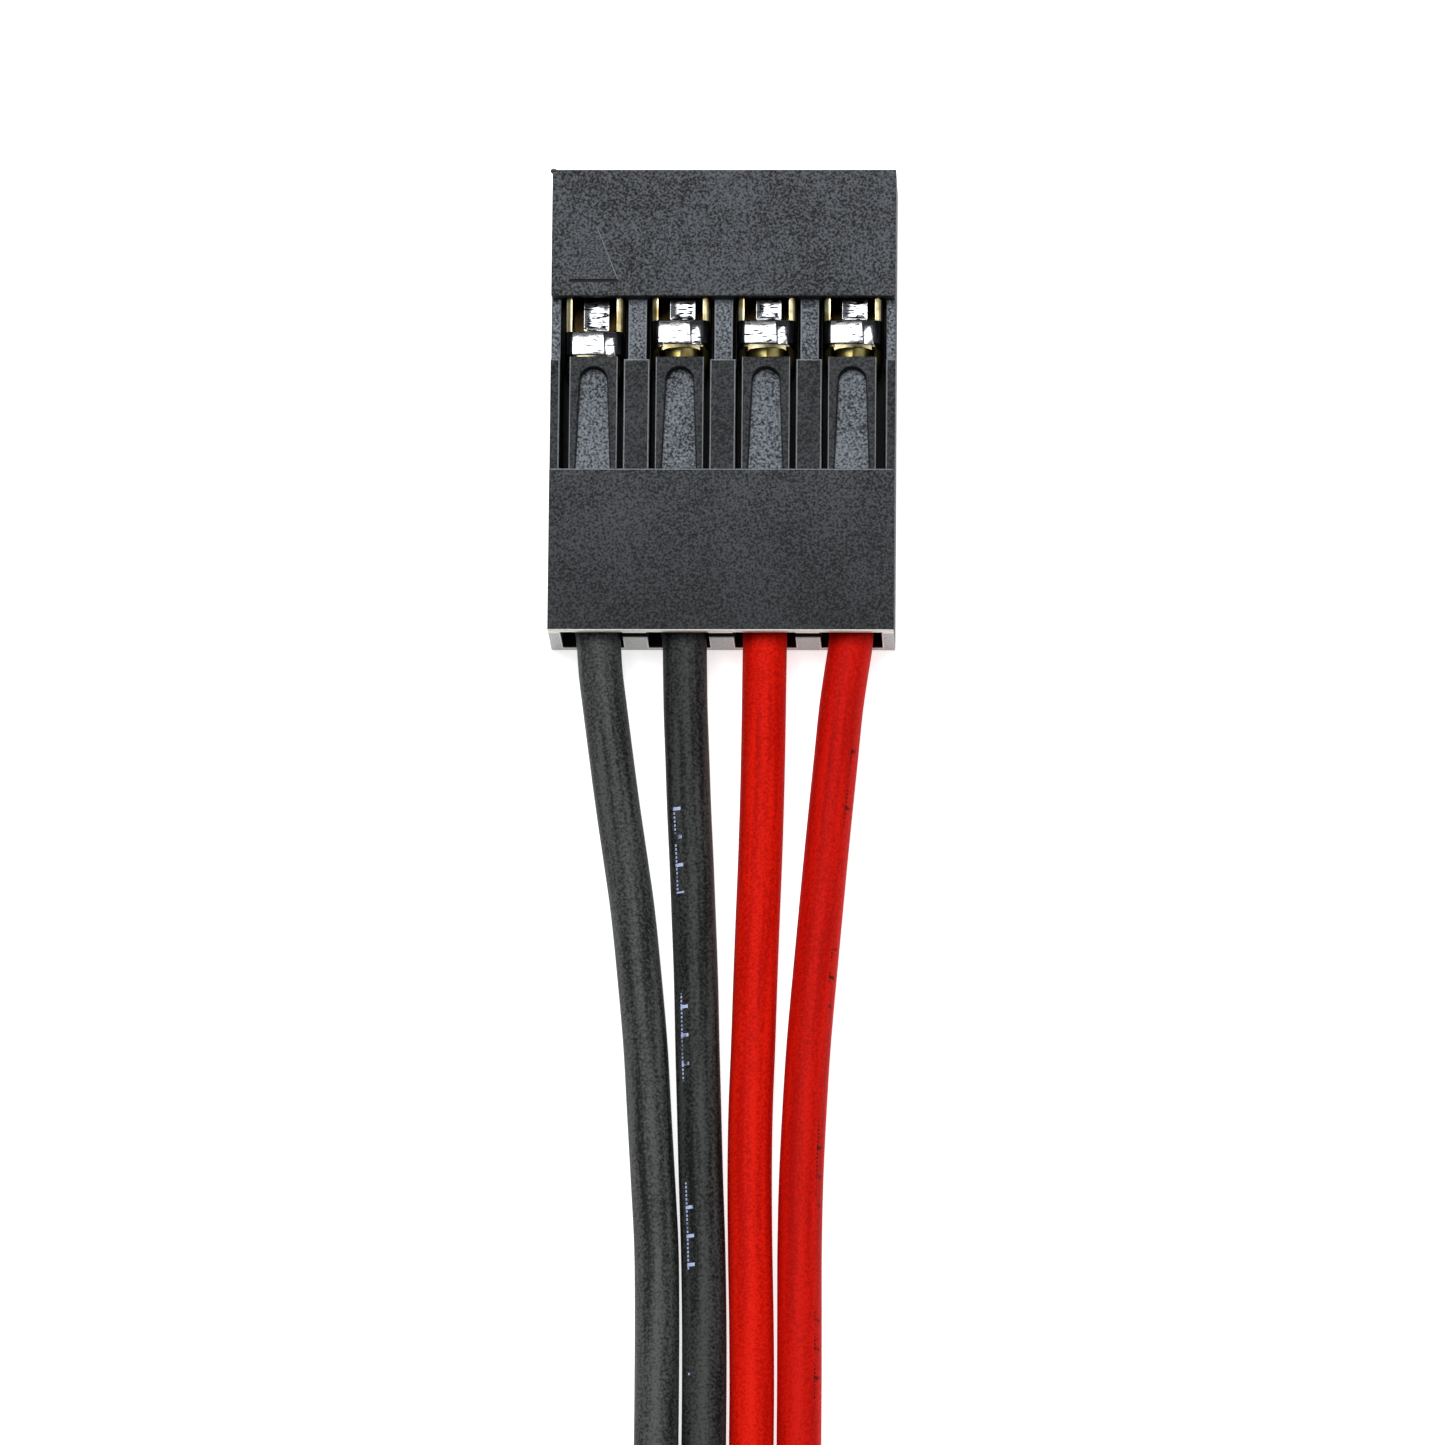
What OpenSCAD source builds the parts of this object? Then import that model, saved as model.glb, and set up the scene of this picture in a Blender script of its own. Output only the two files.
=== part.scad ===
// Single-row crimp connector: a moulded housing, four crimped contacts and their four leads.
// The mating face looks along +Y, the leads leave along -Y, and the ways run along X.
// The origin is under the middle of the housing, on the surface that the connector lies on.

/* [Housing] */
// Distance from one way to the next
pitch = 2.54; // [2.5, 2.54]
// Length from the mating face to the lead side
housing_l = 14; // [13.8:0.1:14.4]
// Height of the housing
housing_h = 2.54; // [2.5:0.02:2.6]
// Length of the full-height block at the mating end
front_block_l = 3.85; // [3.7:0.05:3.9]
// Length of the full-height block at the lead end
rear_block_l = 4.9; // [4.8:0.1:5.2]
// Thickness of the wall at the mating face
front_wall_t = 0.7; // [0.6:0.05:0.8]
// Thickness of the floor under the cavities
floor_t = 0.25; // [0.2:0.01:0.3]
// Width of a cavity
cavity_w = 1.8; // [1.78:0.01:1.84]
// Height of a cavity
cavity_h = 2.04; // [2.02:0.01:2.08]
// Depth of the notch over the walls between the cavities, in the lead side
rear_notch_l = 0.3; // [0.2:0.05:0.4]

/* [Windows and latches] */
// Width of the ribs between the open windows
window_rib_w = 0.55; // [0.5:0.05:0.6]
// How far the window ribs lie below the top
window_rib_drop = 0.5; // [0.3:0.05:0.6]
// How far the latches and the ribs beside them lie below the top
latch_drop = 0.12; // [0.05:0.01:0.2]
// Width of a latch finger
finger_w = 1.42; // [1.36:0.02:1.46]
// Length of a latch finger from its root to its tip
finger_l = 3.43; // [3.3:0.01:3.48]
// Thickness of a latch finger at its root
finger_t = 0.46; // [0.4:0.02:0.5]
// Gap on each side of a latch finger
slot_w = 0.18; // [0.12:0.01:0.18]
// How deep the catch at the tip reaches below the top of the finger
catch_h = 0.6; // [0.55:0.01:0.62]

/* [Contacts] */
// Width of the contact's box
box_w = 1.72; // [1.68:0.01:1.74]
// Thickness of the gold-plated sheet
sheet_t = 0.18; // [0.14:0.01:0.2]
// Thickness of the stainless spring clip
clip_t = 0.12; // [0.1:0.01:0.12]
// How far a contact can slide in its cavity
float_travel = 0.35; // [0.2:0.01:0.36]
// Side of the square pin that a contact takes
pin_w = 0.64; // [0.6:0.01:0.64]

/* [Leads] */
// Outer diameter of a lead
lead_od = 1.3; // [1.2:0.02:1.3]
// Diameter of a lead's bundle of copper strands
strand_d = 0.5; // [0.4:0.02:0.56]
// Length of a lead from the strands in its crimp to its tinned tip
lead_l = 150; // [140:1:155]
// Length of the stripped and tinned tip
tip_l = 4; // [3:0.5:5]

/* [Hidden] */
$fn = 48;
eps = 0.01;

// Housing
ways = 4;
housing_w = ways * pitch;
front_y = housing_l / 2;
rear_y = -housing_l / 2;
window_y = front_y - front_block_l;
root_y = rear_y + rear_block_l;
step_y = 1.25;
cavity_top = floor_t + cavity_h;
pin_z = floor_t + cavity_h / 2;
latch_top = housing_h - latch_drop;
window_w = pitch - window_rib_w;
latch_window_w = finger_w + 2 * slot_w;
notch_z = 1.57;
notch_top = 2.2;
pin_hole_w = pin_w + 0.31;
funnel_w = 1.5;
funnel_l = 0.4;
mark_l = 1.7;
mark_w = 1.48;
mark_h = 0.05;
mark_tip_x = 0.07;
mark_x = way_x(0) - 0.02;
mark_y = window_y + 0.46;
slot_z = 0.65;

// Latch finger
tip_y = root_y + finger_l;
catch_l = 0.5;
catch_ramp_l = 0.9;
scoop_w = 0.84;
scoop_root_w = 1.05;
scoop_depth = 0.38;
scoop_root_depth = 0.08;
scoop_lip = 0.3;

// Contact, placed at the front end of its travel
box_z = floor_t + 0.05;
box_top = 2.15;
box_front_y = front_y - front_wall_t - 0.1;
roof_y = 4.2;
collar_front_y = 2.5;
collar_rear_y = 1.8;
collar_gap = 0.01;
shoulder_w = 1.68;
shoulder_y = 1.35;
shoulder_l = 0.35;
neck_front_w = 1.4;
neck_front_top = 1.75;
neck_mid_y = 1.45;
neck_mid_top = 1.6;
neck_w = 1.1;
neck_end_y = 0.8;
neck_top = 1.15;
wire_barrel_l = 2.2;
wire_barrel_w = 1.15;
wire_barrel_h = 0.95;
sleeve_barrel_l = 1.8;
strip_l = 0.8;
strip_w = 0.9;
barrel_seam = 0.1;
bump_y = 4.9;
bump_l = 1.8;
bump_top_l = 0.3;
bump_gap = 0.03;
bump_h = pin_z - pin_w / 2 - box_z - sheet_t - bump_gap;
flap_w = 0.3;
flap_t = 0.05;
flap_x = 0.32;
flap_rear_y = 1.76;
flap_lead = 0.1;
flap_slant = 0.3;
tongue_w = 0.74;
tongue_x = 0.06;
tongue_gap = 0.03;
tongue_top = box_top - 0.04;
tongue_bend_y = 3.48;
tongue_bend_z = 0.02;
tongue_dip = 0.53;
tongue_end_y = 5.6;
tongue_end_z = 0.33;

// Each contact's place along its travel: way 1 sits at the rear end of it
rest_shift = [-float_travel, 0, 0, 0];

// Lead inside the housing
wire_end_y = neck_end_y - wire_barrel_l;
sleeve_y = wire_end_y - strip_l;
insulation_y = sleeve_y + 0.25;
stub_end_y = rear_y + 0.45;
conductor_z = box_z + sheet_t + 0.45;
strand_end_y = neck_end_y;
strand_gap = 0.05;

// Route of the free leads from the housing to the edge of the coil, one row of x for each
route_y = [-7, -8, -9, -10.5, -12, -13.5, -15, -17, -19, -21, -23, -25, -27, -29, -31, -33];
route_z = [1.27, 1.25, 1.15, 0.95, 0.78, 0.69, 0.66, 0.66, 0.66, 0.66, 0.66, 0.66, 0.66, 0.66, 0.66, 0.66];
route_x = [
    [-3.63, -3.55, -3.42, -3.22, -3.01, -2.78, -2.56, -2.34, -2.15, -2.02, -1.89, -1.77, -1.73, -1.72,
     -1.72, -1.72],
    [-1.1, -1.07, -1.05, -0.99, -0.93, -0.85, -0.78, -0.69, -0.63, -0.56, -0.49, -0.41, -0.36, -0.34,
     -0.34, -0.34],
    [1.27, 1.26, 1.25, 1.23, 1.2, 1.16, 1.11, 1.05, 1, 0.94, 0.93, 0.96, 1.01, 1.04, 1.04, 1.04],
    [3.8, 3.66, 3.52, 3.37, 3.22, 3.08, 2.95, 2.78, 2.62, 2.51, 2.43, 2.4, 2.41, 2.42, 2.42, 2.42]
];
lead_colours = ["#26262a", "#26262a", "#c81e1a", "#c81e1a"];
tube_sides = 8;

// Coil: the four leads lie side by side in it and climb one layer a turn
coil_x = -7.12;
coil_y = -44;
coil_r = 5.4;
lay_pitch = 1.38;
lay_z = 0.66;
climb_from = 0.45;
climb_to = 0.8;
free_l = lead_l - tip_l - (strand_end_y - rear_y);
coil_in_r = coil_r - lay_pitch / 2;
coil_out_r = coil_r + (ways - 0.5) * lay_pitch;

// Tie around the far side of the coil
tie_w = 3;
tie_t = 0.35;
tie_tail_l = 5;
tie_tail_d = 1.1;

// Distance of way k from the middle of the row
function way_x(k) = (k - (ways - 1) / 2) * pitch;

// Radius of lead k in the coil, the turns that it makes there, and its height after t turns
function turn_r(k) = coil_r + k * lay_pitch;
function turns(k) = (free_l - (rear_y - coil_y)) / (2 * PI * turn_r(k));
function ease(u) = let (v = min(max(u, 0), 1)) v * v * (3 - 2 * v);
function climb(t) = lay_pitch * (floor(t) + ease((t - floor(t) - climb_from) / (climb_to - climb_from)));
function end_z(k) = lay_z + climb(turns(k));
function top_z(k) = end_z(k) + lead_od / 2;

// Where the straight run of lead k meets the outside of the coil
function coil_edge_y(k) = coil_y + sqrt(coil_out_r * coil_out_r - turn_r(k) * turn_r(k));
function route(k) = concat(
    [for (i = [0:len(route_y) - 1]) [route_x[k][i], route_y[i], route_z[i]]],
    [[coil_x + turn_r(k), coil_edge_y(k), lay_z]]
);

// Tube of a few flat sides swept along a list of points
module tube(points, d, sides) {
    n = len(points);
    rings = [for (i = [0:n - 1])
        let (a = points[max(i - 1, 0)], b = points[min(i + 1, n - 1)],
             along = (b - a) / norm(b - a),
             across = cross(along, [0, 0, 1]) / norm(cross(along, [0, 0, 1])),
             up = cross(across, along))
        for (s = [0:sides - 1])
            let (angle = (s + 0.5) * 360 / sides)
            points[i] + d / 2 * (cos(angle) * across + sin(angle) * up)];
    walls = [for (i = [0:n - 2], s = [0:sides - 1])
        [i * sides + s, i * sides + (s + 1) % sides,
         (i + 1) * sides + (s + 1) % sides, (i + 1) * sides + s]];
    first = [[for (s = [sides - 1:-1:0]) s]];
    last = [[for (s = [0:sides - 1]) (n - 1) * sides + s]];
    polyhedron(rings, concat(walls, first, last));
}

// Box given by its lowest and highest corners
module block(low, high) {
    translate(low) cube(high - low);
}

// Outline in Y and Z, extruded to both sides of X = 0
module side_profile(points, width) {
    rotate([90, 0, 90]) translate([0, 0, -width / 2]) linear_extrude(width) polygon(points);
}

// Outline in X and Z, extruded along Y from rear to front
module run(rear, front) {
    translate([0, front, 0]) rotate([90, 0, 0]) linear_extrude(front - rear) children();
}

// Square funnel that narrows from the mating face to the pin hole
module pin_entry() {
    hole = pin_hole_w / 2;
    mouth = funnel_w / 2;
    block([-hole, front_y - front_wall_t - eps, pin_z - hole], [hole, front_y + eps, pin_z + hole]);
    flare = [
        [-hole, front_y - funnel_l], [hole, front_y - funnel_l],
        [mouth, front_y + eps], [-mouth, front_y + eps]
    ];
    intersection() {
        linear_extrude(housing_h) polygon(flare);
        translate([0, 0, pin_z]) rotate([0, 90, 0]) translate([0, 0, -mouth])
            linear_extrude(funnel_w) polygon(flare);
    }
}

// Everything that way k takes out of the housing. The slot beside an end wall is as wide as the window.
module way_cuts(k) {
    block([-cavity_w / 2, rear_y - eps, floor_t], [cavity_w / 2, front_y - front_wall_t, cavity_top]);
    block([-window_w / 2, step_y, pin_z], [window_w / 2, window_y, housing_h + eps]);
    left_w = k == 0 ? window_w : latch_window_w;
    right_w = k == ways - 1 ? window_w : latch_window_w;
    block([-left_w / 2, root_y, slot_z], [right_w / 2, step_y + eps, housing_h + eps]);
    pin_entry();
}

// Moulded housing with its cavities, windows and the raised mark that shows way 1
module housing() {
    color("#303033") translate([mark_x, mark_y, housing_h - eps]) linear_extrude(mark_h + eps)
        polygon([[-mark_w / 2, 0], [mark_w / 2, 0], [mark_tip_x, mark_l]]);
    color("#303033") difference() {
        block([-housing_w / 2, rear_y, 0], [housing_w / 2, front_y, housing_h]);
        for (k = [0:ways - 1]) translate([way_x(k), 0, 0]) way_cuts(k);
        block([-housing_w / 2 - eps, step_y, housing_h - window_rib_drop],
              [housing_w / 2 + eps, window_y, housing_h + eps]);
        block([-housing_w / 2 - eps, root_y, latch_top], [housing_w / 2 + eps, step_y, housing_h + eps]);
        block([way_x(0), rear_y - eps, notch_z], [way_x(ways - 1), rear_y + rear_notch_l, notch_top]);
    }
}

// Sprung finger that holds a contact in: a tongue with a catch under its tip and a scoop on top, which
// is deepest at the tip
module latch_finger(k) {
    outline = [
        [root_y, latch_top], [root_y, latch_top - finger_t],
        [tip_y - catch_l - catch_ramp_l, latch_top - finger_t], [tip_y - catch_l, latch_top - catch_h],
        [tip_y, latch_top - catch_h], [tip_y, latch_top]
    ];
    scoop_y = tip_y - scoop_lip - scoop_w / 2;
    color("#343437") translate([way_x(k), 0, 0]) difference() {
        side_profile(outline, finger_w);
        intersection() {
            linear_extrude(housing_h) {
                translate([0, scoop_y]) circle(d = scoop_w);
                polygon([
                    [-scoop_w / 2, scoop_y], [scoop_w / 2, scoop_y],
                    [scoop_root_w / 2, root_y - eps], [-scoop_root_w / 2, root_y - eps]
                ]);
            }
            side_profile([
                [root_y - eps, latch_top + eps], [root_y - eps, latch_top - scoop_root_depth],
                [tip_y - scoop_lip, latch_top - scoop_depth], [tip_y, latch_top - scoop_depth],
                [tip_y, latch_top + eps]
            ], finger_w);
        }
    }
}

// Rolled crimp around the bare strands: two lobes on a round-cornered base
module wire_barrel_outline() {
    lobe = wire_barrel_w / 4;
    translate([0, box_z + sheet_t]) {
        for (side = [-1, 1]) {
            translate([side * lobe, wire_barrel_h - lobe]) circle(r = lobe);
            translate([side * lobe, lobe]) circle(r = lobe);
        }
        translate([-2 * lobe, lobe]) square([4 * lobe, wire_barrel_h - 2 * lobe]);
        translate([-lobe, 0]) square([2 * lobe, wire_barrel_h - lobe]);
    }
}

// Rolled crimp around the insulation, open along a narrow seam on top
module sleeve_barrel_outline() {
    difference() {
        translate([0, pin_z]) circle(d = lead_od + 2 * sheet_t);
        translate([0, pin_z]) circle(d = lead_od + 2 * collar_gap);
        translate([-barrel_seam / 2, pin_z]) square([barrel_seam, lead_od]);
    }
}

// Short closed slope from the box down to the crimp, with a shoulder on each side behind the collar
module neck() {
    intersection() {
        side_profile([
            [collar_rear_y + eps, box_z + clip_t + collar_gap], [collar_rear_y + eps, neck_front_top],
            [neck_mid_y, neck_mid_top], [neck_end_y - eps, neck_top],
            [neck_end_y - eps, box_z + clip_t + collar_gap]
        ], box_w);
        linear_extrude(housing_h) for (side = [-1, 1]) polygon([
            [0, collar_rear_y + eps], [side * neck_front_w / 2, collar_rear_y + eps],
            [side * shoulder_w / 2, shoulder_y + shoulder_l], [side * shoulder_w / 2, shoulder_y],
            [side * neck_w / 2, neck_end_y - eps], [0, neck_end_y - eps]
        ]);
    }
}

// Gold-plated contact body: box, neck, wire crimp and insulation crimp
module contact_body(k) {
    half = box_w / 2;
    inset = clip_t + collar_gap;
    strip_z = pin_z - lead_od / 2 - collar_gap - sheet_t;
    color("#b8912f") translate([way_x(k), rest_shift[k], 0]) {
        difference() {
            block([-half, collar_front_y, box_z], [half, box_front_y, box_top]);
            block([sheet_t - half, 0, box_z + sheet_t], [half - sheet_t, front_y, box_top - sheet_t]);
            block([-half - eps, 0, box_top - sheet_t], [half + eps, roof_y, box_top + eps]);
        }
        difference() {
            block([inset - half, collar_rear_y, box_z + inset],
                  [half - inset, collar_front_y + eps, box_top - inset]);
            block([inset + sheet_t - half, collar_rear_y + sheet_t, box_z + inset + sheet_t],
                  [half - inset - sheet_t, collar_front_y + 1, box_top]);
        }
        side_profile([
            [bump_y - bump_l / 2, box_z + sheet_t - eps],
            [bump_y - bump_top_l / 2, box_z + sheet_t + bump_h],
            [bump_y + bump_top_l / 2, box_z + sheet_t + bump_h],
            [bump_y + bump_l / 2, box_z + sheet_t - eps]
        ], tongue_w);
        neck();
        difference() {
            run(wire_end_y, neck_end_y) wire_barrel_outline();
            translate([0, front_y, conductor_z]) rotate([90, 0, 0])
                cylinder(h = housing_l, d = strand_d + 2 * collar_gap);
        }
        block([-strip_w / 2, sleeve_y - eps, strip_z], [strip_w / 2, wire_end_y + eps, strip_z + sheet_t]);
        run(sleeve_y - sleeve_barrel_l, sleeve_y) sleeve_barrel_outline();
    }
}

// Stainless clip: a collar round the box whose end folds over in a slanted flap
module contact_clip(k) {
    half = box_w / 2;
    color("#c9cbcd") translate([way_x(k), rest_shift[k], 0]) {
        difference() {
            block([-half, collar_rear_y, box_z], [half, collar_front_y - eps, box_top]);
            block([clip_t - half, 0, box_z + clip_t], [half - clip_t, front_y, box_top - clip_t]);
        }
        translate([flap_x, 0, box_top - eps]) linear_extrude(flap_t + eps) polygon([
            [0, flap_rear_y], [flap_w, flap_rear_y],
            [flap_w, collar_front_y + flap_lead - flap_slant], [0, collar_front_y + flap_lead]
        ]);
    }
}

// Spring tongue of the clip, which dips into the box and presses on the pin
module spring_tongue(k) {
    path = [
        [collar_front_y + tongue_gap, tongue_top], [tongue_bend_y, tongue_top - tongue_bend_z],
        [bump_y, tongue_top - tongue_dip], [tongue_end_y, tongue_top - tongue_end_z]
    ];
    underside = [for (i = [len(path) - 1:-1:0]) path[i] - [0, clip_t]];
    color("#d4d6d8") translate([way_x(k) + tongue_x, rest_shift[k], 0])
        side_profile(concat(path, underside), tongue_w);
}

// Bare copper strands, from under the insulation to just past the wire crimp
module conductor(k) {
    rise = pin_z - conductor_z;
    reach = wire_end_y - insulation_y;
    color("#b06a3b") translate([way_x(k), rest_shift[k], 0]) {
        translate([0, strand_end_y, conductor_z]) rotate([90, 0, 0])
            cylinder(h = strand_end_y - wire_end_y, d = strand_d);
        translate([0, wire_end_y + strand_d / 4, conductor_z]) rotate([90 - atan2(rise, reach), 0, 0])
            cylinder(h = norm([rise, reach]) - strand_gap, d = strand_d);
    }
}

// Length of insulation that the rear crimp holds inside the housing
module crimped_lead(k) {
    color(lead_colours[k]) translate([way_x(k), rest_shift[k] + insulation_y, pin_z]) rotate([90, 0, 0])
        cylinder(h = insulation_y - stub_end_y, d = lead_od);
}

// Free lead from the housing to the coil
module lead(k) {
    color(lead_colours[k]) tube(route(k), lead_od, tube_sides);
}

// Moves what lies along +X to the end of lead k in the coil, in the lead's own direction
module at_lead_end(k) {
    angle = 360 * turns(k);
    translate([coil_x + turn_r(k) * cos(angle), coil_y - turn_r(k) * sin(angle), end_z(k)])
        rotate([0, 0, -90 - angle]) children();
}

// Stripped and tinned end of a lead
module lead_tip(k) {
    color("#c4c6c8") at_lead_end(k) rotate([0, 90, 0]) cylinder(h = tip_l, d = strand_d);
}

// Section of the bundle where the tie holds it, grown all round by grow
module tied_section(grow) {
    shoulder_r = turn_r(1) + lay_pitch / 2;
    polygon([
        [coil_in_r - grow, tie_t - grow], [coil_out_r + grow, tie_t - grow],
        [coil_out_r + grow, tie_t + 2 * lay_pitch + grow / 2],
        [shoulder_r + grow / 2, tie_t + 3 * lay_pitch + grow],
        [coil_in_r - grow, tie_t + 3 * lay_pitch + grow]
    ]);
}

// Puts a section of the bundle at the far side of the coil
module at_tie(width) {
    translate([coil_x + width / 2, coil_y, 0]) rotate([90, 0, -90]) linear_extrude(width) children();
}

// Outer shape of the four coiled leads: one ring for each, as high as its last turn
module lead_coil() {
    color("#5a2422") difference() {
        translate([coil_x, coil_y, 0]) rotate_extrude($fn = 96) for (k = [0:ways - 1])
            translate([turn_r(k) - lay_pitch / 2, 0]) square([lay_pitch, top_z(k)]);
        for (k = [0:ways - 1]) at_lead_end(k)
            translate([0, -lead_od / 2, -lead_od / 2]) cube([tip_l + lead_od, lead_od, 2 * lay_pitch]);
        at_tie(tie_w) difference() {
            translate([coil_in_r - 1, -1]) square([coil_out_r - coil_in_r + 2, 5 * lay_pitch]);
            tied_section(0);
        }
    }
}

// Flat twist tie round the bundle, with its ends twisted together outside it
module coil_tie() {
    color("#1d1d1f") {
        at_tie(tie_w) difference() {
            tied_section(tie_t);
            tied_section(0);
        }
        translate([coil_x, coil_y - coil_out_r - tie_t + eps, tie_tail_d / 2 + 0.5]) rotate([90, 0, 0])
            cylinder(h = tie_tail_l, d = tie_tail_d);
    }
}

housing();
latch_finger(0);  // latch_finger_1
latch_finger(1);  // latch_finger_2
latch_finger(2);  // latch_finger_3
latch_finger(3);  // latch_finger_4
contact_body(0);  // contact_body_1
contact_body(1);  // contact_body_2
contact_body(2);  // contact_body_3
contact_body(3);  // contact_body_4
contact_clip(0);  // contact_clip_1
contact_clip(1);  // contact_clip_2
contact_clip(2);  // contact_clip_3
contact_clip(3);  // contact_clip_4
spring_tongue(0);  // spring_tongue_1
spring_tongue(1);  // spring_tongue_2
spring_tongue(2);  // spring_tongue_3
spring_tongue(3);  // spring_tongue_4
conductor(0);  // conductor_1
conductor(1);  // conductor_2
conductor(2);  // conductor_3
conductor(3);  // conductor_4
crimped_lead(0);  // crimped_lead_1
crimped_lead(1);  // crimped_lead_2
crimped_lead(2);  // crimped_lead_3
crimped_lead(3);  // crimped_lead_4
lead(0);  // lead_1
lead(1);  // lead_2
lead(2);  // lead_3
lead(3);  // lead_4
lead_tip(0);  // lead_tip_1
lead_tip(1);  // lead_tip_2
lead_tip(2);  // lead_tip_3
lead_tip(3);  // lead_tip_4
lead_coil();
coil_tie();
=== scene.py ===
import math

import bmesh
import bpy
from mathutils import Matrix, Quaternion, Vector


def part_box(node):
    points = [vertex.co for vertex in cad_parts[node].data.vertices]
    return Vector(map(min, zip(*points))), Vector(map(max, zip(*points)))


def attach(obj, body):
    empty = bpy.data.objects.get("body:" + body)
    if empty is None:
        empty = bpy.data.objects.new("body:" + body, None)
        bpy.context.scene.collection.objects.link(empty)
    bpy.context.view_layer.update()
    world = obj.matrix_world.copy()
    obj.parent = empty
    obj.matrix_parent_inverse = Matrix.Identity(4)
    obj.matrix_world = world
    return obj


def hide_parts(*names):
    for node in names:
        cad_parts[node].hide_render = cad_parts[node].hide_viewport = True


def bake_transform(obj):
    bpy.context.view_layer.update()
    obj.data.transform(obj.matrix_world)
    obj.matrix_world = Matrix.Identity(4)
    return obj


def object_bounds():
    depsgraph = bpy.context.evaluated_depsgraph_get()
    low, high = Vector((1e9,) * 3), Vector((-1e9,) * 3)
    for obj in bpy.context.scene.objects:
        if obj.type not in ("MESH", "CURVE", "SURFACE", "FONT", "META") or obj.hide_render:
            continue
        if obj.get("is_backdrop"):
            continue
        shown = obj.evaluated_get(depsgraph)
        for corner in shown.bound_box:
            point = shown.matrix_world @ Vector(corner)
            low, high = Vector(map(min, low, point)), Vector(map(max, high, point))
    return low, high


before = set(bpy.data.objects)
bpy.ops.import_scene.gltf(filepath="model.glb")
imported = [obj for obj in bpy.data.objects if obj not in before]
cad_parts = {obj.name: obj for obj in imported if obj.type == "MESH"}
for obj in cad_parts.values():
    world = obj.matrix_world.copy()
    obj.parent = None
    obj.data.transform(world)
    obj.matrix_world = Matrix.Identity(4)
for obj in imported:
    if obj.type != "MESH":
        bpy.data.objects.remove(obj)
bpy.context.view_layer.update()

# %% [markdown]
# # A four-way crimp connector with its leads
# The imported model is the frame: a black moulded housing, four sprung latch fingers, four gold-plated
# contacts with steel spring clips, and four thin leads. Everything below is built around it, in metres.
# Parts this small are easier to think of in millimetres, so the values here are millimetres, and one
# function brings each finished piece to metres.

MM = 0.001
WAYS = (1, 2, 3, 4)


def mm_box(node):
    """Lowest and highest corner of a CAD node, in millimetres."""
    low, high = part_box(node)
    return low / MM, high / MM


# %% [markdown]
# ## Where things are
# A few places are read from the frame: the housing's ends and top, the middle of each way, and how far
# each contact sits from the front end of its travel. A contact is modelled once, in the middle of the
# row and at the front of its travel, and each way's copy is moved to its own place.

# %% Places from the frame
housing_low, housing_high = mm_box("housing")
MARK_H = 0.05
REAR_Y, FRONT_Y, TOP_Z = housing_low.y, housing_high.y, housing_high.z - MARK_H
finger_low, finger_high = mm_box("latch_finger_2")
ROOT_Y, FINGER_TOP = finger_low.y, finger_high.z
CONTACT_FRONT_Y = max(mm_box(f"contact_body_{k}")[1].y for k in WAYS)
WAY = {}
for k in WAYS:
    low, high = mm_box(f"contact_body_{k}")
    WAY[k] = Vector(((low.x + high.x) / 2, high.y - CONTACT_FRONT_Y, 0))
print("ways at x, and shift along y:", [tuple(round(v, 2) for v in WAY[k]) for k in WAYS])

# %% [markdown]
# ## Camera
# A long lens from a third of a metre away, looking down steeply from the lead side. The camera aims at a
# point on the table between the housing and the bundle of leads. Up in the picture is the object's +Y,
# turned by half a degree.

# %% Camera
AIM = Vector((0, -9.18, 0)) * MM
DISTANCE = 348 * MM
AZIMUTH, ELEVATION, ROLL = math.radians(8.32), math.radians(77.03), math.radians(-0.5)
out = Vector((math.sin(AZIMUTH) * math.cos(ELEVATION), -math.cos(AZIMUTH) * math.cos(ELEVATION),
              math.sin(ELEVATION)))
up = Vector((0, 1, 0)) - out * out.y
up.rotate(Quaternion(-out, ROLL))
up.normalize()
bpy.ops.object.camera_add()
camera = bpy.context.object
camera.matrix_world = Matrix((up.cross(out), up, out)).transposed().to_4x4()
camera.location = AIM + out * DISTANCE
camera.data.sensor_width = 36
camera.data.lens = 294.4
camera.data.clip_start = 0.01
bpy.context.scene.camera = camera
print("camera at", [round(v / MM, 1) for v in camera.location], "mm")

# %% [markdown]
# ## Studio
# The table is one large pale plane that glows a little, as a light table does, so shadows on it stay
# faint. Black plastic has hardly any colour of its own, so what it shows is mostly the light that it
# mirrors: a broad soft box overhead lights the tops, a long strip to the right brightens one side of each
# lead, and a pale world fills the shadows.

# %% Colours and shader nodes
def linear(hex_colour):
    """sRGB hex to the linear colour that a shader expects."""
    channels = [int(hex_colour[i:i + 2], 16) / 255 for i in (1, 3, 5)]
    return (*[c / 12.92 if c <= 0.04045 else ((c + 0.055) / 1.055) ** 2.4 for c in channels], 1)


def add(tree, kind, inputs=None, **settings):
    """Add a node. inputs maps a socket to a value, or to the output that feeds it."""
    new = tree.nodes.new(kind)
    for name, value in settings.items():
        setattr(new, name, value)
    for name, value in (inputs or {}).items():
        if isinstance(value, bpy.types.NodeSocket):
            tree.links.new(value, new.inputs[name])
        else:
            new.inputs[name].default_value = value
    return new


def new_material(name, **shader):
    """A material with a fresh Principled shader, and its constant settings on the shader's sockets."""
    material = bpy.data.materials.new(name)
    material.use_nodes = True
    tree = material.node_tree
    tree.nodes.clear()
    surface = add(tree, "ShaderNodeBsdfPrincipled", {n.replace("_", " "): v for n, v in shader.items()})
    add(tree, "ShaderNodeOutputMaterial", {"Surface": surface.outputs["BSDF"]})
    return material, tree, surface


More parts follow.
